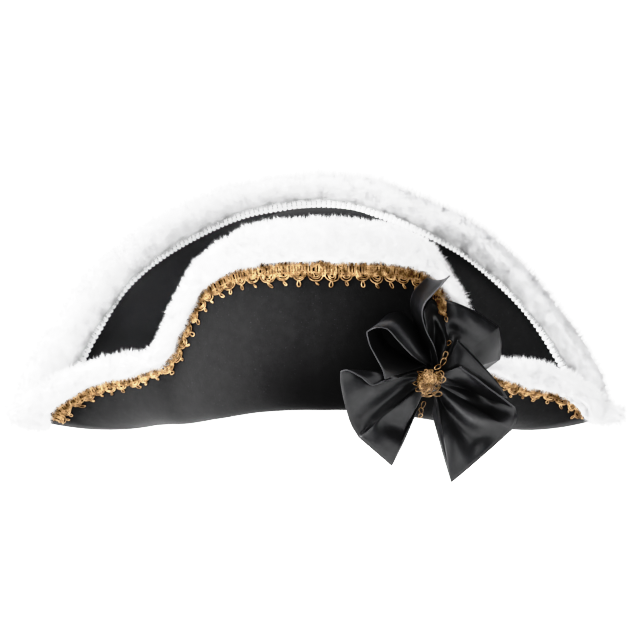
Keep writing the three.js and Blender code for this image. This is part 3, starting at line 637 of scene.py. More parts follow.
# The crown: a superellipse dome over the seam, its outer face joined to its inner one
def makeCrown(look):
    turn = np.linspace(0, 360, felt["crownTurns"], endpoint=False)[:, None]
    climb = np.linspace(0, 1, felt["crownClimbs"] + 1)[None, :] ** felt["crownCrowding"]
    climb = felt["crownClosed"] * climb * np.pi / 2
    out, up = np.cos(climb) ** (2 / felt["fullness"]), np.sin(climb) ** (2 / felt["fullness"])

    def face(inward):
        seam = seamPoint(turn, -inward)
        return np.stack([seam[..., 0] * out, seam[..., 1] * out,
                         seam[..., 2] * (1 - up) + (felt["top"] - inward) * up], -1)

    points = np.concatenate([face(felt["thickness"])[:, ::-1], face(0)], axis=1)
    columns = points.shape[1]
    faceSets = [gridFaces(felt["crownTurns"], columns, True)]
    first = np.arange(felt["crownTurns"])[None] * columns
    faceSets += [first, first[:, ::-1] + columns - 1]
    points = points.reshape(-1, 3)
    # the crown is lightened evenly: painted light
    values = {"inside": np.full(len(points), felt["crownPaintedLight"])}
    addPiece(meshOf("feltCrown", points, facingOut(points, faceSets), look, values), "crown")


makeBrim(feltLook("blackFelt", 0.09))
makeCrown(feltLook("crownFelt", 0.0))
print("felt made")


# Fur: a padded body folded over the felt's edge, under a pile of tapering tufts

fur = {
    # its shape; a pair is for the left and the right point
    "stations": 300, "around": 44, "tipSteps": 14, "tipArc": 88, "tip": (15 * mm, 19 * mm), "droop": (0.3, 0.15),
    "spread": 9 * mm, "lip": 5 * mm, "bodyShare": 0.86, "lumps": 0.5 * mm, "swells": 0.8 * mm, "tipClosed": 0.04,
    "edgeWaves": 1.2 * mm, "wavesPerTurn": 0.45, "wavesShift": 60, "wavesSeed": 17,
    "braidBare": -1.5 * mm, "tapeBare": 6.8 * mm,
    "flatAt": ([90, 170, 200, 230, 242, 270], [0.5, 0.5, 0.35, 0.38, 0.55, 0.55]),
    # its painted light by turn: the back fur's glow near the tape and beyond it, and how much painted shade greys the
    # fur
    "glow": 0.5, "lipGlow": 0.45, "shadeMarks": 0.34, "clumpLight": 0.15, "bodyWayOut": 0.45,
    "nearAt": ([90, 150, 200], [0.0, 0.03, 0.1]),
    "farAt": ([90, 98, 105, 150, 175, 200], [-0.05, -0.2, -0.45, -0.45, -0.2, 0.0]),
    "shadeAt": ([60, 90, 100, 113, 128, 150, 165, 185, 200], [0.0, 0.42, 0.58, 0.85, 0.9, 0.95, 0.6, 0.2, 0.0]),
}
# Shares by the way round the fur's outline, whose second half is on the side that is hidden in
# front: the side that shows, that side with the outline's top, and the stretches near the tape
furShares = {
    "shown": ([0.0, 0.38, 0.5, 0.95, 1.0], [1, 1, 0, 0, 1]), "seen": ([0.0, 0.46, 0.60, 0.93, 1.0], [1, 1, 0, 0, 1]),
    "shadeMarked": ([0.0, 0.08, 0.2, 0.4], [0.3, 1, 1, 0]), "lip": ([0.0, 0.06, 0.2, 0.93, 1.0], [1, 1, 0, 0, 1]),
}
# Patches are sums of noises: the share of each, its size and shift along the fur, the same round
# the fur, and its place among the seeds
furPatches = {
    "lumps": [(1, 2.2, 0, 2.4, 0, 0), (0.5, 1.2, 0, 1.3, 0, 1)], "swells": [(1, 6.3, 5, 7.0, 0, 7)],
    "lean": [(0.4, 5, 7, 5, 0, 2), (0.5, 2.1, 0, 2.3, 0, 3)], "lift": [(0.3, 4, 0, 4, 9, 4), (0.4, 1.9, 0, 2.0, 0, 5)],
    "length": [(0.25, 2.6, 0, 2.6, 0, 6)], "shadeMarks": [(1, 2.4, 0, 5.0, 0, 8), (0.6, 6.0, 0, 8.0, 0, 9)],
    "clumpLight": [(0.6, 1.3, 0, 1.5, 0, 12), (0.4, 3.1, 0, 2.6, 0, 13)],
}
hair = {
    "count": 39000, "tufted": 0.40, "inTuft": 5, "tuftHalf": 0.8 * mm, "gather": 0.45, "sunk": 0.8 * mm,
    "length": 4.0 * mm, "tuftLength": 4.9 * mm, "lengthSpread": (-0.4, 0.45), "tipSpread": (-0.25, 0.05),
    "thick": 0.15 * mm, "thickSpread": (0.75, 1.25), "inTuftThick": 1.2, "comb": 0.8, "stray": 0.3, "soft": 0.85,
    "lowShare": 0.6, "lowAt": (0.1, 0.6),
}
# By turn: how far the fur stands past the felt's edge, how far it covers its braid or tape, how far
# down it comes on the other side, and how thick it is
frontFur = tableOf("turn past cover other thick", [
    (-90, 15, 3, 10, 10), (-86, 13.5, -1.5, 10, 10), (-77, 8.5, -2.8, 11, 10.5), (-67, 8, -2.8, 11, 10.5),
    (-60, 8.5, -2.4, 11, 11), (-50, 7.5, -1.5, 11, 11), (-40, 5, -0.5, 12, 11.5), (-34, 4, 0, 13, 12),
    (-26, 4.5, 0, 14, 12), (-19, 7, 0, 15, 12), (-12, 7, 0, 15, 12), (-5, 5.5, 0, 15, 12), (0, 6.5, 0, 15, 12),
    (12, 6, 0, 15, 12), (33, 8, 0, 14, 12), (39, 2, 0, 12, 11.5), (47, 4.5, 0, 11, 11), (60, 4.5, -1, 11, 11),
    (67, 2.6, -1.5, 11, 10.5), (71.6, 4.4, -1.5, 11, 10.5), (76, 6.4, -1.4, 11, 10), (80, 8.8, -1.8, 10, 10),
    (86, 12, -1.5, 10, 10), (90, 14, 4, 10, 10),
])
backFur = tableOf("turn past other thick", [
    (90, 15.5, 11, 11), (96, 14, 12, 12), (100, 13, 13, 12), (106, 11, 13, 12), (111, 8, 13, 12), (117, 8, 13, 12),
    (122, 6.5, 13, 12), (127, 8.2, 13, 12), (133, 8.5, 13, 12), (138, 9, 13, 12), (143, 9.5, 14, 12),
    (149, 8.8, 14, 12), (160, 10, 14, 12), (180, 10, 14, 12), (190, 10.2, 14, 12), (200, 10.2, 14, 12),
    (207, 14.5, 13, 12), (214, 16, 13, 12), (220, 17, 13, 12), (226, 17, 13, 12), (232, 18, 13, 12),
    (238, 17, 13, 12), (243, 21, 13, 12), (247, 19.5, 13, 12), (250, 18.5, 13, 12), (254, 16, 13, 12),
    (259, 18.5, 12, 12), (264, 18.5, 12, 12), (270, 18.5, 11, 12),
])


# The closed outline of the fur across the edge: a periodic Catmull-Rom curve through ten corners,
# given as sideways and upward parts of its measures. It is flatter on the hidden side.
def furOutline(past, shown, hidden, thick, flat, shrink, shownWay):
    lip = fur["lip"] / thick
    side = np.stack([0.1 + 0 * thick, lip, 0.85 + 0 * thick, 1 + 0 * thick, 0.85 + 0 * thick, 0 * thick,
                     -flat, -0.95 * flat, -0.65 * flat, -0.3 * flat], 1)
    up = np.stack([-shown * 0.5, -shown, -shown * 0.9, -shown * 0.4, past * 0.5, past,
                   past * 0.4, -hidden * 0.15, -hidden * 0.6, -hidden], 1)
    corners = np.stack([side * shownWay * thick[:, None], up], -1) * shrink[:, None, None]
    t = np.linspace(0, 10, fur["around"], endpoint=False)
    i = t.astype(int)
    f = (t - i)[None, :, None]
    p = [corners[:, (i + k) % 10] for k in (-1, 0, 1, 2)]
    return 0.5 * (2 * p[1] + f * (p[2] - p[0]) + f ** 2 * (2 * p[0] - 5 * p[1] + 4 * p[2] - p[3])
                  + f ** 3 * (3 * (p[1] - p[2]) + p[3] - p[0]))


# A share by j, the number of the point round the fur's outline
def aroundShare(name, j):
    return np.interp(j / fur["around"], *furShares[name])


# A patch's sum of noises at the station i and the point j round it
def furPatch(name, i, j, seed):
    return sum(share * patchNoise(i / long + shiftI, j / wide + shiftJ, seed + own)
               for share, long, shiftI, wide, shiftJ, own in furPatches[name])


# How much painted light the pile gives as its glow. On the back fur it changes from the side that shows
# to the top, is brighter on the lip, is mottled by clump noise, and is less in painted shade marks near the tape. The
# front fur's is even.
def furGlow(i, j, here, shownWay, seed):
    if shownWay > 0:
        return np.full(np.shape(i), fur["glow"])
    shown, seen = aroundShare("shown", j), aroundShare("seen", j)
    own = shown * here["near"] + (seen - shown) * here["far"] + fur["lipGlow"] * aroundShare("lip", j)
    own = own + fur["clumpLight"] * furPatch("clumpLight", i, j, seed) * seen
    shadeMarks = np.clip(furPatch("shadeMarks", i, j, seed), 0, 1) * aroundShare("shadeMarked", j)
    return np.maximum(0, fur["glow"] + own - fur["shadeMarks"] * shadeMarks)


# A grid of the fur's outer face, stations along the edge by points around it, with the stations'
# ways along and up and their shares of painted light and shade. The two ends are rounded off past the felt's points.
def furGrid(trim, first, last, shownWay, count=4001):
    arc = np.linspace(math.radians(fur["tipArc"]), 0, fur["tipSteps"], endpoint=False)
    beyond = np.concatenate([np.sin(arc), np.zeros(fur["stations"]), np.sin(arc[::-1])])
    shrink = np.concatenate([np.cos(arc), np.ones(fur["stations"]), np.cos(arc[::-1])])
    turn = np.linspace(first, last, count)
    length = lengthsAlong(brimPoint(turn, 1.0))
    turn = np.interp(np.linspace(0, length[-1], fur["stations"]), length, turn)
    turn = np.concatenate([np.full(fur["tipSteps"], turn[0]), turn, np.full(fur["tipSteps"], turn[-1])])
    past, hidden, thick = [tableAt(trim, "turn", name, turn) for name in ("past", "other", "thick")]
    # the side that shows in front ends at the braid on the front fur, at the tape on the back fur
    if shownWay > 0:
        shown = belowEdge(braidRows, turn) - fur["braidBare"] + tableAt(trim, "turn", "cover", turn)
        waves = patchNoise(turn * fur["wavesPerTurn"] + fur["wavesShift"], turn * 0, fur["wavesSeed"])
        shown = shown + fur["edgeWaves"] * waves
    else:
        shown = belowEdge(tapeRows, turn) - fur["tapeBare"]
    away = brimNormal(turn, 1.0)
    along = unit(brimPoint(turn + 0.5, 1.0) - brimPoint(turn - 0.5, 1.0))
    up = unit(np.cross(away, along))
    middle = brimPoint(turn, 1.0)
    middle[:, 1] = -shownWay * np.hypot(middle[:, 1], fur["spread"])
    right = middle[:, 0] > 0
    reach, droop = [np.where(right, *fur[name][::-1]) for name in ("tip", "droop")]
    tipWay = unit(np.stack([np.where(right, 1, -1), 0 * turn, -droop], -1))
    middle = middle + tipWay * (beyond * reach)[:, None]
    flat = np.interp(turn, *fur["flatAt"])
    outline = furOutline(past, shown, hidden, thick, flat, np.maximum(shrink, fur["tipClosed"]), shownWay)
    grid = middle[:, None] + away[:, None] * outline[..., :1] + up[:, None] * outline[..., 1:]
    return grid, along, up, {name: np.interp(turn, *fur[name + "At"]) for name in ("near", "far", "shade")}


# Values at fractional places in a grid whose columns close on themselves
def gridAt(grid, i, j):
    a, b = np.floor(i).astype(int), np.floor(j).astype(int)
    s, t = (i - a)[:, None], (j - b)[:, None]
    a2, b, b2 = np.minimum(a + 1, grid.shape[0] - 1), b % grid.shape[1], (b + 1) % grid.shape[1]
    return (grid[a, b] * (1 - s) + grid[a2, b] * s) * (1 - t) + (grid[a, b2] * (1 - s) + grid[a2, b2] * s) * t


# Hairs as slender three-sided spikes, each closed at its root
def hairMesh(name, start, tip, sideways, thick, outs, own, look):
    other = unit(np.cross(tip - start, sideways))
    ring = [start + (sideways * math.cos(a) + other * math.sin(a)) * thick[:, None] for a in circle(3)]
    points = np.stack(ring + [tip], 1).reshape(-1, 3)
    faces = np.array([[0, 2, 1], [0, 1, 3], [1, 2, 3], [2, 0, 3]])[None] + (np.arange(len(tip)) * 4)[:, None, None]
    values = {key: np.repeat(value, 4) for key, value in own.items()}
    values["wayOut"] = np.tile([0, 0, 0, 1.0], len(tip))
    piece = meshOf(name, points, facingOut(points, [faces.reshape(-1, 3)]), look, values)
    outward = np.stack([unit(corner - start) for corner in ring] + [unit(tip - start)], 1)
    soft = hair["soft"]
    leaning = unit(outs[:, None] * soft + outward * (1 - soft)).reshape(-1, 3)
    piece.data.normals_split_custom_set_from_vertices(leaning)  # the pile is lit as one soft mass
    return piece


# One pile of the fur. Roots are spread evenly by area: cells of the grid are drawn by their size.
# Some hairs stand alone, and the rest are gathered a few at a time into pointed tufts. Each hair
# goes out of the body and leans with the flow of its patch.
def makePile(name, node, body, normals, area, along, up, shares, shownWay, look, seed, dice):
    stations, around = body.shape[:2]
    tufts = int(hair["count"] * hair["tufted"] / hair["inTuft"])
    singles = hair["count"] - tufts * hair["inTuft"]
    cells = dice.choice(len(area), singles + tufts, p=area / area.sum())
    i = np.clip(cells // around + dice.uniform(-0.5, 0.5, len(cells)), 0, stations - 1.001)
    j = cells % around + dice.uniform(-0.5, 0.5, len(cells))
    alone = np.arange(len(cells)) < singles
    own = np.repeat(np.arange(len(cells)), np.where(alone, 1, hair["inTuft"]))  # each hair's root or tuft
    inTuft = own >= singles
    root, out = gridAt(body, i, j), unit(gridAt(normals, i, j))
    row = np.minimum(i.round().astype(int), stations - 1)
    flow = along[row] * furPatch("lean", i, j, seed)[:, None] + up[row] * furPatch("lift", i, j, seed)[:, None]
    flow = flow + dice.normal(0, hair["stray"], out.shape)
    flow = flow - out * dots(flow, out)[:, None]
    length = np.where(alone, hair["length"], hair["tuftLength"])
    length = length * (1 + furPatch("length", i, j, seed) + dice.uniform(*hair["lengthSpread"], len(i)))
    length = length * np.interp(-dots(out, up[row]), hair["lowAt"], [1, hair["lowShare"]])  # shorter below
    tip = root + unit(out + flow * hair["comb"]) * length[:, None]
    jitter = dice.normal(0, hair["tuftHalf"], (len(own), 3)) * inTuft[:, None]
    jitter = jitter - out[own] * dots(jitter, out[own])[:, None]
    start = root[own] + jitter - out[own] * hair["sunk"]
    tips = tip[own] + jitter * hair["gather"]
    tips = tips + (tips - start) * dice.uniform(*hair["tipSpread"], len(own))[:, None] * inTuft[:, None]
    sideways = unit(np.cross(out[own], dice.normal(0, 1, start.shape)))
    thick = hair["thick"] * dice.uniform(*hair["thickSpread"], len(own)) * np.where(inTuft, hair["inTuftThick"], 1.0)
    here = {key: share[row] for key, share in shares.items()}
    values = {"glow": furGlow(i, j % around, here, shownWay, seed)[own],
              "shade": (here["shade"] * aroundShare("seen", j % around))[own]}
    addPiece(hairMesh(name, start, tips, sideways, thick, out[own], values, look), node)


# The fur: a padded body, swollen and lumpy, under two piles. shownWay is 1 where the felt's outer
# face shows in front, -1 where its inner one does.
def makeFur(name, node, trim, first, last, shownWay, look, seed):
    outer, along, up, shares = furGrid(trim, first, last, shownWay)
    stations, around = outer.shape[:2]
    core = outer.mean(axis=1, keepdims=True)
    body = core + (outer - core) * fur["bodyShare"]
    acrossWay = np.roll(body, -1, axis=1) - np.roll(body, 1, axis=1)
    normals = unit(np.cross(np.gradient(body, axis=0), acrossWay))
    normals *= np.sign(np.einsum("ijk,ijk->", normals, body - core))
    i, j = np.meshgrid(np.arange(stations), np.arange(around), indexing="ij")
    body = body + normals * (furPatch("swells", i, j, seed) * fur["swells"])[..., None]
    points = (body + normals * (furPatch("lumps", i, j, seed) * fur["lumps"])[..., None]).reshape(-1, 3)
    cap = np.arange(around)[None]
    faceSets = [gridFaces(stations, around, False, True), cap[:, ::-1], cap + (stations - 1) * around]
    here = {key: share[i] for key, share in shares.items()}
    values = {"wayOut": np.full(len(points), fur["bodyWayOut"]), "glow": furGlow(i, j, here, shownWay, seed),
              "shade": here["shade"] * aroundShare("seen", j)}
    addPiece(meshOf(name + "Body", points, facingOut(points, faceSets), look, values), node)
    area = np.linalg.norm(np.cross(np.gradient(body, axis=0), acrossWay), axis=-1).ravel()
    for part in (1, 2):
        makePile(f"{name}Pile{part}", node, body, normals, area, along, up, shares, shownWay, look, seed,
                 np.random.default_rng(seed + 9 + part))


white = furLook()
makeFur("frontFur", "front_fur", frontFur, -89, 89, 1, white, 100)
makeFur("backFur", "back_fur", backFur, 91, 269, -1, white, 200)
print("fur made")


# Curves on the felt

# A curve on the felt through a table's rows, as a function of a share of its length and a
# distance down from it, which gives the felt's turn and reach
def feltCurve(rows, count=3001, window=6):
    turns = np.linspace(rows["turn"][0], rows["turn"][-1], count)
    reaches = tableAt(rows, "turn", "reach", turns)
    line = brimPoint(turns, reaches)
    lengths, places = lengthsAlong(line), np.arange(count)

    def at(share, down):
        share, down = np.broadcast_arrays(np.asarray(share, float), np.asarray(down, float))
        place = np.interp(share * lengths[-1], lengths, places)
        turn, reach = np.interp(place, places, turns), np.interp(place, places, reaches)
        back, on = np.maximum(place - window, 0), np.minimum(place + window, count - 1)
        tangent = np.stack([np.interp(on, places, line[:, k]) - np.interp(back, places, line[:, k])
                            for k in range(3)], -1)
        across = unit(np.cross(tangent, brimNormal(turn, reach)))
        across = across * np.where(across[..., 2:] > 0, -1, 1)
        target = brimPoint(turn, reach) + across * down[..., None]
        return feltAt(target[..., 0], target[..., 2], turn, reach)

    def turnAt(share):
        return np.interp(share * lengths[-1], lengths, turns)

    return at, turnAt, lengths[-1]


# Gimp braid, drawn flat in motifs: s counts motifs along it, w is a share of its width down from
# its upper edge, h is the height over the felt

braid = {
    "motifs": 50, "low": 1.3 * mm, "cord": 0.38 * mm, "sides": 5, "widest": 17 * mm,
    "strokes": 2.6, "headTop": 0.02, "headFoot": 0.60, "binders": ((0.13, 0.0), (0.44, 1.2)), "binderLoops": 7,
    "swags": 3, "swagTop": 0.50, "swagFoot": 0.79, "swagHalf": 0.43, "swagStep": 0.10, "footStep": 0.085,
    "picot": 0.105, "picotFoot": 0.91, "heads": ((0.22, 0.13), (0.52, 0.12), (0.80, 0.13)), "tangles": 3,
}


# The flat paths of a gimp: lists of arrays (cords, steps) of s, w and h, and whether they close
def gimpPaths(motifs, dice):
    first = np.arange(motifs)[:, None]
    chance = lambda share: share * dice.normal(0, 1, (motifs, 1))
    wobble = chance(1)
    lots = []
    # header: a pair of cords that runs up and down across the band, in squared-off strokes
    t = np.linspace(0, motifs, motifs * 26 + 1)[None]
    phase = 2 * np.pi * braid["strokes"] * (t + 0.06 * patchNoise(t * 1.7, t * 0, 33))
    squared = np.sign(np.cos(phase)) * np.abs(np.cos(phase)) ** 0.6
    middle, half = (braid["headTop"] + braid["headFoot"]) / 2, (braid["headFoot"] - braid["headTop"]) / 2
    edge = 0.03 * np.sin(2 * np.pi * t + 0.5) + 0.03 * patchNoise(t * 2.3, t * 0, 31)
    for k, shift in enumerate((0.0, 0.075)):
        lots.append((t + shift + 0.04 * np.sin(2 * phase), middle + squared * (half + edge - 0.03 * k),
                     (0.35 + 0.25 * k) * mm + 0.25 * mm * np.sin(phase), False))
    # two binding cords along the band, looping over the header
    t = np.linspace(0, motifs, motifs * 22 + 1)[None]
    for w, start in braid["binders"]:
        phase = 2 * np.pi * t * braid["binderLoops"]
        lots.append((t + 0.035 * np.sin(phase + start), w + 0.035 * np.cos(phase + start),
                     0.95 * mm + 0.2 * mm * np.sin(2 * phase + start), False))
    # swags: bows of cord hung from the band, one inside the other
    t = np.linspace(0, 1, 13)[None]
    bow = np.sin(np.pi * t)
    centre, lowest = first + 0.5 + chance(0.07), braid["swagFoot"] + 0.035 * wobble
    for k in range(braid["swags"]):
        half = braid["swagHalf"] - braid["swagStep"] * k + chance(0.04)
        foot = lowest - braid["footStep"] * k + chance(0.015)
        sway = (0.07 * wobble + chance(0.04)) * bow
        w = braid["swagTop"] + (foot - braid["swagTop"]) * bow ** 0.75
        lots.append((centre - half * np.cos(np.pi * t) + sway, w, (0.25 + 0.3 * k) * mm + 0.2 * mm * bow, False))
    # picots: a drop-shaped loop that hangs from the outer swag, slanted by chance
    t = circle(14)[None]
    size, slant = braid["picot"] * (1 + chance(0.2)), 0.08 + chance(0.13)
    s = centre + size * 0.85 * np.sin(t) * (1 - 0.35 * np.cos(t)) + slant * (0.5 - 0.5 * np.cos(t))
    w = lowest + braid["picotFoot"] - braid["swagFoot"] - size * 1.05 * np.cos(t)
    lots.append((s, w, 0.35 * mm + 0.25 * mm * np.cos(t), True))
    # heads: small loops that stand out of the band's upper edge
    t = circle(12)[None]
    for centre, width in braid["heads"]:
        lots.append((first + centre + width * np.sin(t) + 0.02 * wobble, 0.035 - (0.075 + 0.012 * wobble) * np.cos(t),
                     0.45 * mm + 0.3 * mm * np.sin(2 * t), True))
    # tangles: stray loops of the same cord, thrown over the band by chance
    at, long, lean, down = dice.uniform(0, 1, (motifs * braid["tangles"], 4)).T[..., None]
    lots.append((at * motifs + (0.10 + 0.12 * long) * np.cos(t + 6 * lean),
                 0.12 + 0.5 * down + (0.06 + 0.09 * lean) * np.sin(t),
                 1.1 * mm + 0.5 * mm * np.sin(2 * t + 6 * long), True))
    return lots


# The cords of flat paths laid on a surface, which gives a place and a way up for s, w and h
def cordsOn(surface, lots, radius):
    made, windings = [], []
    for s, w, h, joined in lots:
        points, faceSets, turns = cordArrays(*surface(*np.broadcast_arrays(s, w, h)), radius, braid["sides"], joined)
        made.append((points, faceSets))
        windings.append(turns)
    return joinArrays(made), np.concatenate(windings)


# The gimp laid down the felt from the braid's upper edge; it lies flatter where the band is narrow
def makeBraid(look):
    curve, turnAt, length = feltCurve(braidRows)

    def surface(s, w, h):
        share = np.clip(s / braid["motifs"], 0, 1)
        width = tableAt(braidRows, "turn", "width", turnAt(share))
        turn, reach = curve(share, w * width)
        height = braid["low"] + h * (0.6 + 0.4 * width / braid["widest"])
        return offFelt(turn, reach, height), brimNormal(turn, reach)

    lots = gimpPaths(braid["motifs"], np.random.default_rng(41))
    (points, faceSets), windings = cordsOn(surface, lots, braid["cord"])
    piece = meshOf("gimpBraid", points, faceSets, look, {"windings": windings})
    addPiece(piece, "front_braid")
    print("braid length", round(length, 4))


makeBraid(goldLook("goldGimp", 0.92))


# Heading tape: a knitted strip of small puffed ribs, each ending in a scallop, with two rows of
# stitches drawn in between them

tape = {"width": 9.0 * mm, "low": 1.0 * mm, "thick": 0.9 * mm, "pitch": 3.9 * mm, "perRib": 7, "across": 12,
        "scallop": 1.2 * mm, "scallopPower": 0.7, "ribPower": 0.6, "hump": (1.25, 0.12), "puff": (0.25, 0.75),
        "sunk": 0.1 * mm, "stitchRows": ((0.30, 1.0), (0.52, 0.9)), "rowHalf": 0.08, "hollows": (0.25, 0.8)}


# The tape's top face: s counts its ribs and w is the way up across it. Each rib puffs up along a
# sine to a power, and a smooth hump carries it across the width.
def makeTape(look):
    curve, _, length = feltCurve(tapeRows)
    ribs = int(length / tape["pitch"])
    s = np.linspace(0, ribs, ribs * tape["perRib"] + 1)[:, None]
    w = np.linspace(0, 1, tape["across"] + 1)[None, :]
    across = np.abs(np.sin(np.pi * s))                      # 0 between ribs, 1 on the middle of each
    foot = tape["scallop"] * (across ** tape["scallopPower"] - 1)  # the lower edge draws in between ribs
    down = foot - w * (tape["width"] + foot)
    (stretch, shift), (flat, swell), (even, deeper) = tape["hump"], tape["puff"], tape["hollows"]
    hump = np.sin(np.pi * np.clip(w * stretch + shift, 0, 1)) ** tape["ribPower"]
    puff = across ** tape["ribPower"] * (flat + swell * hump)
    row = sum(deep * np.exp(-((w - at) / tape["rowHalf"]) ** 2) for at, deep in tape["stitchRows"])
    hollow = np.minimum(1, (even + deeper * row) * (1 - across ** 0.5))
    height = tape["low"] + tape["thick"] * (0.15 + puff) * (1 - 0.5 * hollow)
    turn, reach = curve(s / ribs, down)
    points, faceSets = sheetArrays(offFelt(turn, reach, -height), offFelt(turn, reach, tape["sunk"] - tape["low"]))
    # painted shade in the hollows; the underside is all in it
    shadeMarks = np.concatenate([hollow, np.ones_like(hollow)], axis=1)
    addPiece(meshOf("headingTape", points, faceSets, look, {"hollow": shadeMarks}), "back_fur_tape")
    print("tape length", round(length, 4), "ribs", ribs)


makeTape(tapeLook())
print("trims made")


# Satin bow: each lobe of the ribbon is a table of its folds, with smooth cloth between them

satin = {"thickness": 0.7 * mm, "perFold": 8, "across": 24, "hem": 0.5 * mm, "hemSides": 6, "pleat": 0.35 * mm,
         "pleatTurns": 0.55, "pleatWander": 0.4, "pleatSize": 0.7, "pleatEnd": 1.9, "ribbon": 55 * mm, "keysOut": 6.0,
         "ridgeRise": 5}
loopColumns = "rearX rearY rearZ hemX hemY hemZ lift sharp rim"
# A fan: the line of its gathers at the waist, then rows with the front hem's place, the lift of the
# cloth's middle, how sharp a corner and how thick a hem. A loop's rows start with the rear hem's place.
bowFans = {
    "leftTail": ([(74, -106, 36), (74, -102, 21)], [
        (45, -130, 30, 0, 0, 1), (36, -134, 27, 0, 0, 1), (28, -138, 33, 0, 0, 1), (19, -140, 38, 0, 0, 1),
        (14, -139, 37, 0, 1, 1), (14, -136, 28, 3, 0, 0.7), (17, -134, 13, 4, 0, 0.5), (21, -130, -1, 2, 0, 0.5),
        (26.5, -126, -11, 2, 1, 0.5), (38, -126, -21, 2, 0, 0.4), (50, -122, -32, 2, 1, 0.4),
        (59, -116, -15, 0, 0, 0.4), (70, -106, 9, 0, 0, 0.4)]),
    "innerFold": ([(80, -100, 34), (84, -98, 32)], [
        (72, -118, 77, 0, 0, 1), (79, -104, 84, -3, 0, 0.5), (86, -97, 72, 2, 0, 0.5), (90, -97, 58, 5, 0, 0.5),
        (92, -98, 48, 0, 0, 0.5)]),
    "rightLoop": ([(84, -98, 33), (84, -97, 28)], [
        (88, -94, 84, 0, 0, 0.5), (99, -94, 80.5, 4, 0, 0.5), (112, -88, 74, 6, 0, 0.5), (127.5, -77, 63, 7, 1, 0.5),
        (130, -74, 51, 7, 0, 0.5), (129.5, -72, 39, 5, 1, 0.5), (118, -77, 31, 0, 0, 0.5)]),
    "rightFold": ([(84, -101, 31), (84, -100, 26)], [
        (97, -104, 56, 3, 0, 0.6), (107, -102, 46, 6, 0, 0.6), (118, -97, 34, 5, 0, 0.6), (128, -90, 22, 3, 0, 0.6),
        (134, -84, 12, 0, 0, 0.6)]),
    "rightTail": ([(83, -107, 32), (81, -104, 19)], [
        (94, -108, 34, 0, 0, 0.5), (99, -114, 38, 1, 0.7, 0.6), (109, -114, 31, 1, 0, 0.5), (121, -108, 21, 0, 0, 0.5),
        (131, -99, 13, 0, 0, 0.5), (139, -90, 6, 1, 1, 0.5), (140.5, -88, -2, 2, 0, 0.4), (137, -90, -10, 2, 1, 0.4),
        (127, -98, -18, 1, 0, 0.4), (115, -108, -27, 0, 0, 0.4), (104, -113, -35.5, 0, 0, 0.4),
        (92.5, -115, -44.5, 0, 1, 0.4), (86, -112, -23, 0, 0, 0.4), (79, -107, 3, 0, 0, 0.4)]),
}
bowLoops = {
    "leftLoop": [
        (80, -96, 40, 75, -104, 38, 0, 0, 1), (74, -95, 50, 65, -122, 46, 3, 0, 1),
        (66, -96, 66.5, 54, -134, 58, 5, 0, 1), (58, -100, 74.5, 46, -140, 67, 4, 0, 1),
        (49, -104, 75, 38, -142, 68, 2, 0.6, 1), (42, -106, 69, 32, -142, 65, 0, 0.6, 1),
        (45, -107, 57, 34, -140, 56, 0, 0, 1), (53, -106, 49, 38, -138, 48, 0, 0, 1),
        (64, -105, 42, 43, -134, 38, 0, 0, 1), (74, -105, 37, 45, -130, 30.5, 0, 0, 1)],
    "uprightLoop": [
        (79, -97, 36, 84, -102, 36, 0, 0, 1), (72, -95, 55, 80, -114, 52, 3, 0, 1),
        (67, -97, 68, 74, -122, 64, 4, 0, 1), (64, -100, 79, 71, -126, 76, 4, 0, 1),
        (65, -101, 88, 73, -127, 84, 3, 0, 1), (70, -102, 95, 78, -128, 90, 2, 0, 1),
        (75.5, -103, 100, 84, -129, 96.5, 1, 0.9, 1), (84, -107, 96.8, 90, -129, 103.5, 0, 1, 1)],
}


# Ridges and valleys of the cloth, each along a line between two places (the number of the row, the
# share of the way out to the hem), then the ridge's height in millimetres and half its width in rows
bowRidges = {
    "leftTail": [
        ((5.9, 1.0), (5.3, 0.7), 2, 0.8), ((5.3, 0.7), (1.0, 0.5), 3, 0.9), ((5.9, 0.2), (7.4, 0.85), -5, 0.8),
        ((8.4, 0.25), (7.9, 0.75), 3, 0.7), ((11.0, 0.45), (8.9, 0.6), -5, 0.9), ((9.6, 0.8), (8.6, 0.95), 2, 0.9),
        ((7.8, 1.02), (9.9, 1.02), -2, 0.45)],
    "rightTail": [
        ((8.4, 0.15), (7.8, 0.6), 5, 0.75), ((7.8, 0.6), (6.6, 0.92), 4, 0.8), ((4.5, 0.45), (6.0, 0.62), -6, 1.2),
        ((9.8, 0.2), (9.1, 0.8), -6, 0.9), ((10.9, 0.85), (10.2, 0.65), 3, 1.0), ((1.2, 0.97), (5.0, 0.97), 2, 0.5)],
    "rightLoop": [
        ((0.8, 0.4), (1.1, 0.6), -3, 0.6), ((1.1, 0.6), (3.6, 0.55), -4, 0.9), ((2.2, 0.85), (4.0, 0.9), 3, 1.0)],
    "innerFold": [((0.4, 0.75), (2.8, 0.85), 3, 0.5)],
    "leftLoop": [((1.5, 0.5), (4.5, 0.5), 3, 1.2)],
}
# Painted highlights, paler on the folds' outer face: as above, with the share of the paler colour for the height
bowHighlights = {
    "rightTail": [((8.5, 0.2), (7.8, 0.6), 0.35, 0.5), ((7.8, 0.6), (6.7, 0.9), 0.4, 0.55),
                  ((10.7, 0.7), (10.2, 0.9), 0.3, 0.8)],
    "leftLoop": [((1.4, 0.6), (4.4, 0.75), 0.9, 1.0)],
}


# A fan as rows like a loop's: its rear hem is drawn into the gathers at the waist
def fanTable(gather, rows):
    rows, (start, end) = np.array(rows, float), np.array(gather, float)
    share = np.linspace(0, 1, len(rows))[:, None]
    return tableOf(loopColumns, np.concatenate([start * (1 - share) + end * share, rows], axis=1))


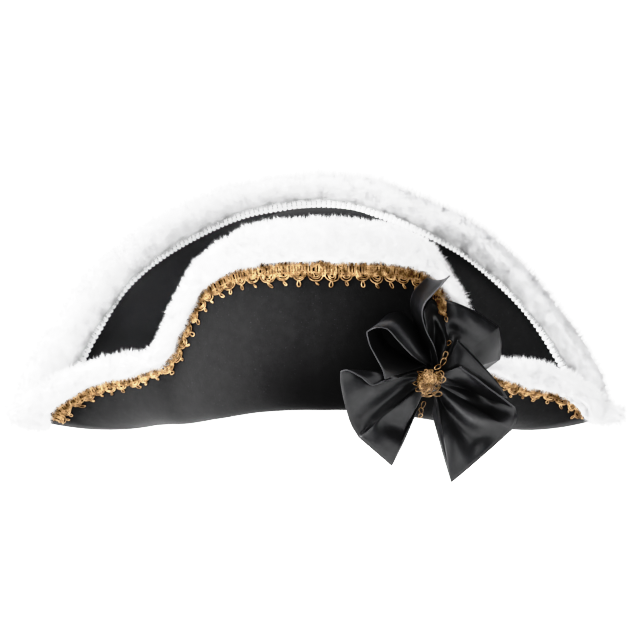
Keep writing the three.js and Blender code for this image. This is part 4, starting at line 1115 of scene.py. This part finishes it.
# How near a place in the cloth is to a line in it: 1 on the line, dying away over the width. The way
# out to the hem counts as keysOut rows.
def lineShare(u, t, start, end, width):
    lean = np.array([1, satin["keysOut"]])
    way = (np.array(end) - np.array(start)) * lean
    off = np.stack(np.broadcast_arrays(u - start[0], t - start[1]), -1) * lean
    share = np.clip(off @ way / (way @ way), 0, 1)
    return np.exp(-(np.linalg.norm(off - share[..., None] * way, axis=-1) / width) ** 2)


# The ribbon's middle face: lines from the rear hem to the front one, their middles lifted forward,
# with fine pleats that die out away from the waist. With it, its painted highlights on the outer face.
def ribbonGrid(table, ridges, paler, gathered, seed):
    folds = len(table["lift"]) - 1
    keyed = dict(table, key=np.arange(folds + 1, dtype=float))
    u = np.linspace(0, folds, folds * satin["perFold"] + 1)
    at = lambda name: tableAt(keyed, "key", name, u)
    rear, hem = [np.stack([at(end + axis) for axis in "XYZ"], -1)[:, None] for end in ("rear", "hem")]
    t = np.linspace(0, 1, satin["across"] + 1)[None, :]
    grid = rear * (1 - t[..., None]) + hem * t[..., None]
    grid[..., 1] -= 4 * t * (1 - t) * at("lift")[:, None]
    for start, end, height, width in ridges:
        rise = np.minimum(1, satin["ridgeRise"] * t)  # none at the rear hem
        grid[..., 1] -= height * mm * lineShare(u[:, None], t, start, end, width) * rise
    if gathered:
        dying = np.sin(np.pi * np.minimum(t * satin["pleatEnd"], 1)) * (1 - t)
        wander = satin["pleatWander"] * patchNoise(u[:, None] * satin["pleatSize"], t * 2, seed)
        pleats = np.sin(2 * np.pi * (u[:, None] * satin["pleatTurns"] + wander))
        grid = grid + gridNormals(grid) * (satin["pleat"] * dying * pleats)[..., None]
    wearAndHighlight = 0 * grid[..., 0]
    for start, end, share, width in paler:
        wearAndHighlight = wearAndHighlight + share * lineShare(u[:, None], t, start, end, width)
    return grid, np.concatenate([wearAndHighlight, 0 * wearAndHighlight], axis=1)


# The lobes of the bow, each a sheet of ribbon with a cord-like hem along its free edges. The length
# of its flat ribbon is its area, worked out cell by cell, over the ribbon's width.
def makeBow(look, hemHighlightLook):
    lobes = {name: (fanTable(*fan), True) for name, fan in bowFans.items()}
    lobes.update({name: (tableOf(loopColumns, rows), False) for name, rows in bowLoops.items()})
    for seed, (name, (table, gathered)) in enumerate(lobes.items()):
        grid, wearAndHighlight = ribbonGrid(table, bowRidges.get(name, []), bowHighlights.get(name, []), gathered, 60 + seed)
        normals = gridNormals(grid)
        half = normals * satin["thickness"] / 2
        points, faceSets = sheetArrays(grid + half, grid - half)
        cloth = addPiece(meshOf(name + "Ribbon", points, faceSets, look, {"wearAndHighlight": wearAndHighlight}), "bow")
        ends = [-1] if gathered else [-1, 0]
        key = np.linspace(0, len(table["rim"]) - 1, grid.shape[0])
        thick = satin["hem"] * np.interp(key, np.arange(len(table["rim"])), table["rim"])[None, :, None, None]
        paths, ups = [faces[:, ends].transpose(1, 0, 2) for faces in (grid, normals)]
        hemPoints, hemFaces, _ = cordArrays(paths, ups, thick, satin["hemSides"])
        hem = addPiece(meshOf(name + "Hem", hemPoints, hemFaces, hemHighlightLook), "bow")
        cells = np.cross(np.diff(grid, axis=0)[:, :-1], np.diff(grid, axis=1)[:-1])
        length = float(np.linalg.norm(cells, axis=-1).sum()) / satin["ribbon"]
        print(name, "ribbon length", round(length, 4))


# The waist of the bow, where the ribbon is gathered into a tight bundle of pleats
waist = {"at": (78 * mm, -97 * mm, 27 * mm), "half": (9 * mm, 16 * mm, 9.5 * mm), "pleats": 11, "depth": 0.08,
         "around": 96, "along": 40, "closed": 0.02}


# A ball by its two angles, swollen outward in pleats that meet at its poles
def makeWaist(look):
    around, along = waist["around"], waist["along"]
    a = circle(around)[:, None]
    b = np.linspace(waist["closed"], np.pi - waist["closed"], along)[None, :]
    swell = 1 + waist["depth"] * np.sin(waist["pleats"] * a) * np.sin(b)
    ball = np.stack([np.sin(b) * np.cos(a) * swell, np.cos(b) + 0 * a, np.sin(b) * np.sin(a) * swell], -1)
    points = (np.array(waist["at"]) + ball * np.array(waist["half"])).reshape(-1, 3)
    ends = np.arange(around)[None] * along
    faceSets = [gridFaces(around, along, True), ends, ends[:, ::-1] + along - 1]
    addPiece(meshOf("waistGathers", points, facingOut(points, faceSets), look), "bow")


blackSatin = satinLook("blackSatin", 1.0, 0.43)
# the hem is a lighter copy of the satin: a painted highlight along its edge
makeBow(blackSatin, satinLook("satinHemHighlight", 2.6, 0.4))
makeWaist(blackSatin)
print("bow made")


# Strap: the gold braid from the front flap down over the waist of the bow, as its knot

strap = {"motifs": 6, "cord": 0.40 * mm, "thickness": 1.2 * mm, "bulge": 1.2 * mm, "middle": 0.45, "steps": 801,
         "sideways": (0.86, 0.5, 0.0)}
strapRows = tableOf("x y z width", [
    (83.5, -101, 86, 9), (86.5, -102, 78, 8), (88.5, -92, 74, 4), (89.5, -86, 70, 3.5), (91, -85, 60, 3.5),
    (91.5, -86, 52, 3), (90.5, -86, 47, 3), (88, -89, 42, 3), (84, -94, 38, 3), (80, -96, 32, 3),
])
# The knot: loops of cord thrown over one another on a rounded lump, and some that stand out of it.
# "far" is how near the lump's rim their middles may lie, and "layers" how high they are heaped.
knot = {
    "at": (76.0 * mm, -113.5 * mm, 26.8 * mm), "half": (8.2 * mm, 5.0 * mm, 11.6 * mm), "loops": 54, "far": 0.78,
    "long": 3.3 * mm, "longSpread": (0.7, 1.5), "wide": 1.25 * mm, "wideSpread": (0.7, 1.4), "narrowing": 0.35,
    "layers": 3.0 * mm, "twist": 0.5 * mm, "steps": 18, "cord": 0.30 * mm,
}
strayLoops = tableOf("x y z long wide turn", [
    (84.5, -117, 32, 3.2, 2.0, 80), (85.5, -117, 28.5, 2.8, 1.8, 40), (83.5, -118, 30.5, 3.6, 2.2, 110),
    (82.5, -117, 18.5, 3.0, 1.5, 10), (86.5, -112, 41, 3.0, 1.6, 60), (88, -109, 45, 3.2, 1.5, 70),
    (89, -102, 70.5, 2.0, 1.1, 100), (91, -102, 53.5, 1.9, 1.2, 60), (72.5, -113, 10.5, 2.6, 1.3, 70),
    (71.2, -110, 6, 2.2, 1.4, 100), (70.6, -108, 2, 1.8, 1.2, 50), (82.5, -114, 37.5, 2.6, 1.4, 30),
    (85, -105, 84, 3.4, 1.4, 130), (86.5, -106, 79.5, 3.6, 1.5, 115),
])


# Loops of cord seen from the front: ovals that narrow to one end, turned by their angles. s and w
# are x and z, and h is how far forward they lie, on the lump or where the table says.
def knotLots(dice):
    (x, y, z), (halfX, halfY, halfZ) = knot["at"], knot["half"]
    chance = lambda low, high: dice.uniform(low, high, (knot["loops"], 1))
    far, way = knot["far"] * chance(0, 1) ** 0.5, chance(0, 2 * np.pi)
    long, wide = knot["long"] * chance(*knot["longSpread"]), knot["wide"] * chance(*knot["wideSpread"])
    heaped = x + halfX * far * np.cos(way), z + halfZ * far * np.sin(way), long, wide, chance(0, 2 * np.pi)
    strays = [strayLoops[key][:, None] for key in ("x", "z", "long", "wide", "turn")]
    strays[-1] = np.radians(strays[-1])
    t = circle(knot["steps"])[None]
    lots = []
    for onLump, (centreX, centreZ, long, wide, angle) in ((True, heaped), (False, strays)):
        e, f = long * np.cos(t), wide * np.sin(t) * (1 + knot["narrowing"] * np.cos(t))
        s = centreX + e * np.cos(angle) - f * np.sin(angle)
        w = centreZ + e * np.sin(angle) + f * np.cos(angle)
        forward = -strayLoops["y"][:, None]
        if onLump:
            inside = np.clip(1 - ((s - x) / halfX) ** 2 - ((w - z) / halfZ) ** 2, 0, 1)
            forward = halfY * inside ** 0.5 - y + knot["layers"] * chance(0, 1)
        lots.append((s, w, forward + knot["twist"] * np.sin(2 * t + angle), True))
    return lots


# The strap's gimp is bent along its rows and bulges in the middle of its width
def makeStrap(look):
    steps = np.arange(strap["steps"])
    rows = np.arange(len(strapRows["x"]), dtype=float)
    at = lambda name: tableAt(dict(strapRows, key=rows), "key", name, np.linspace(0, rows[-1], len(steps)))
    line, widths = np.stack([at(axis) for axis in "xyz"], -1), at("width")
    lengths = lengthsAlong(line)
    along = unit(np.gradient(line, axis=0))
    out = unit(np.cross(along, np.array(strap["sideways"])))
    across = np.cross(out, along)

    def surface(s, w, h):
        place = np.interp(np.clip(s / strap["motifs"], 0, 1) * lengths[-1], lengths, steps)
        pick = lambda values: np.stack([np.interp(place, steps, values[:, k]) for k in range(3)], -1)
        off = w - strap["middle"]
        bulge = strap["thickness"] / 2 + strap["bulge"] * np.cos(np.clip(off, -0.5, 0.5) * np.pi)
        p = pick(line) + pick(across) * (off * np.interp(place, steps, widths))[..., None]
        return p + pick(out) * (bulge + h)[..., None], pick(out)

    dice = np.random.default_rng(51)
    lots = gimpPaths(strap["motifs"], dice)
    facing = lambda s, w, h: (np.stack([s, -h, w], -1), np.broadcast_to([0.0, -1.0, 0.0], s.shape + (3,)))
    made = [cordsOn(surface, lots, strap["cord"]), cordsOn(facing, knotLots(dice), knot["cord"])]
    points, faceSets = joinArrays([arrays for arrays, _ in made])
    windings = np.concatenate([turns for _, turns in made])
    addPiece(meshOf("gimpStrap", points, faceSets, look, {"windings": windings}), "bow_strap")


# the knot's gold is a darker copy of the braid's: painted shade
makeStrap(goldLook("goldKnotShaded", 0.62))


# Floor

def makeFloor():
    half, z = studio["floorSize"] / 2, studio["floorZ"]
    points = np.array([(-half, -half, z), (half, -half, z), (half, half, z), (-half, half, z)])
    floor = meshOf("floor", points, [np.array([[0, 1, 2, 3]])], floorLook())


makeFloor()
print("triangles in all:", sum(triangleCounts))
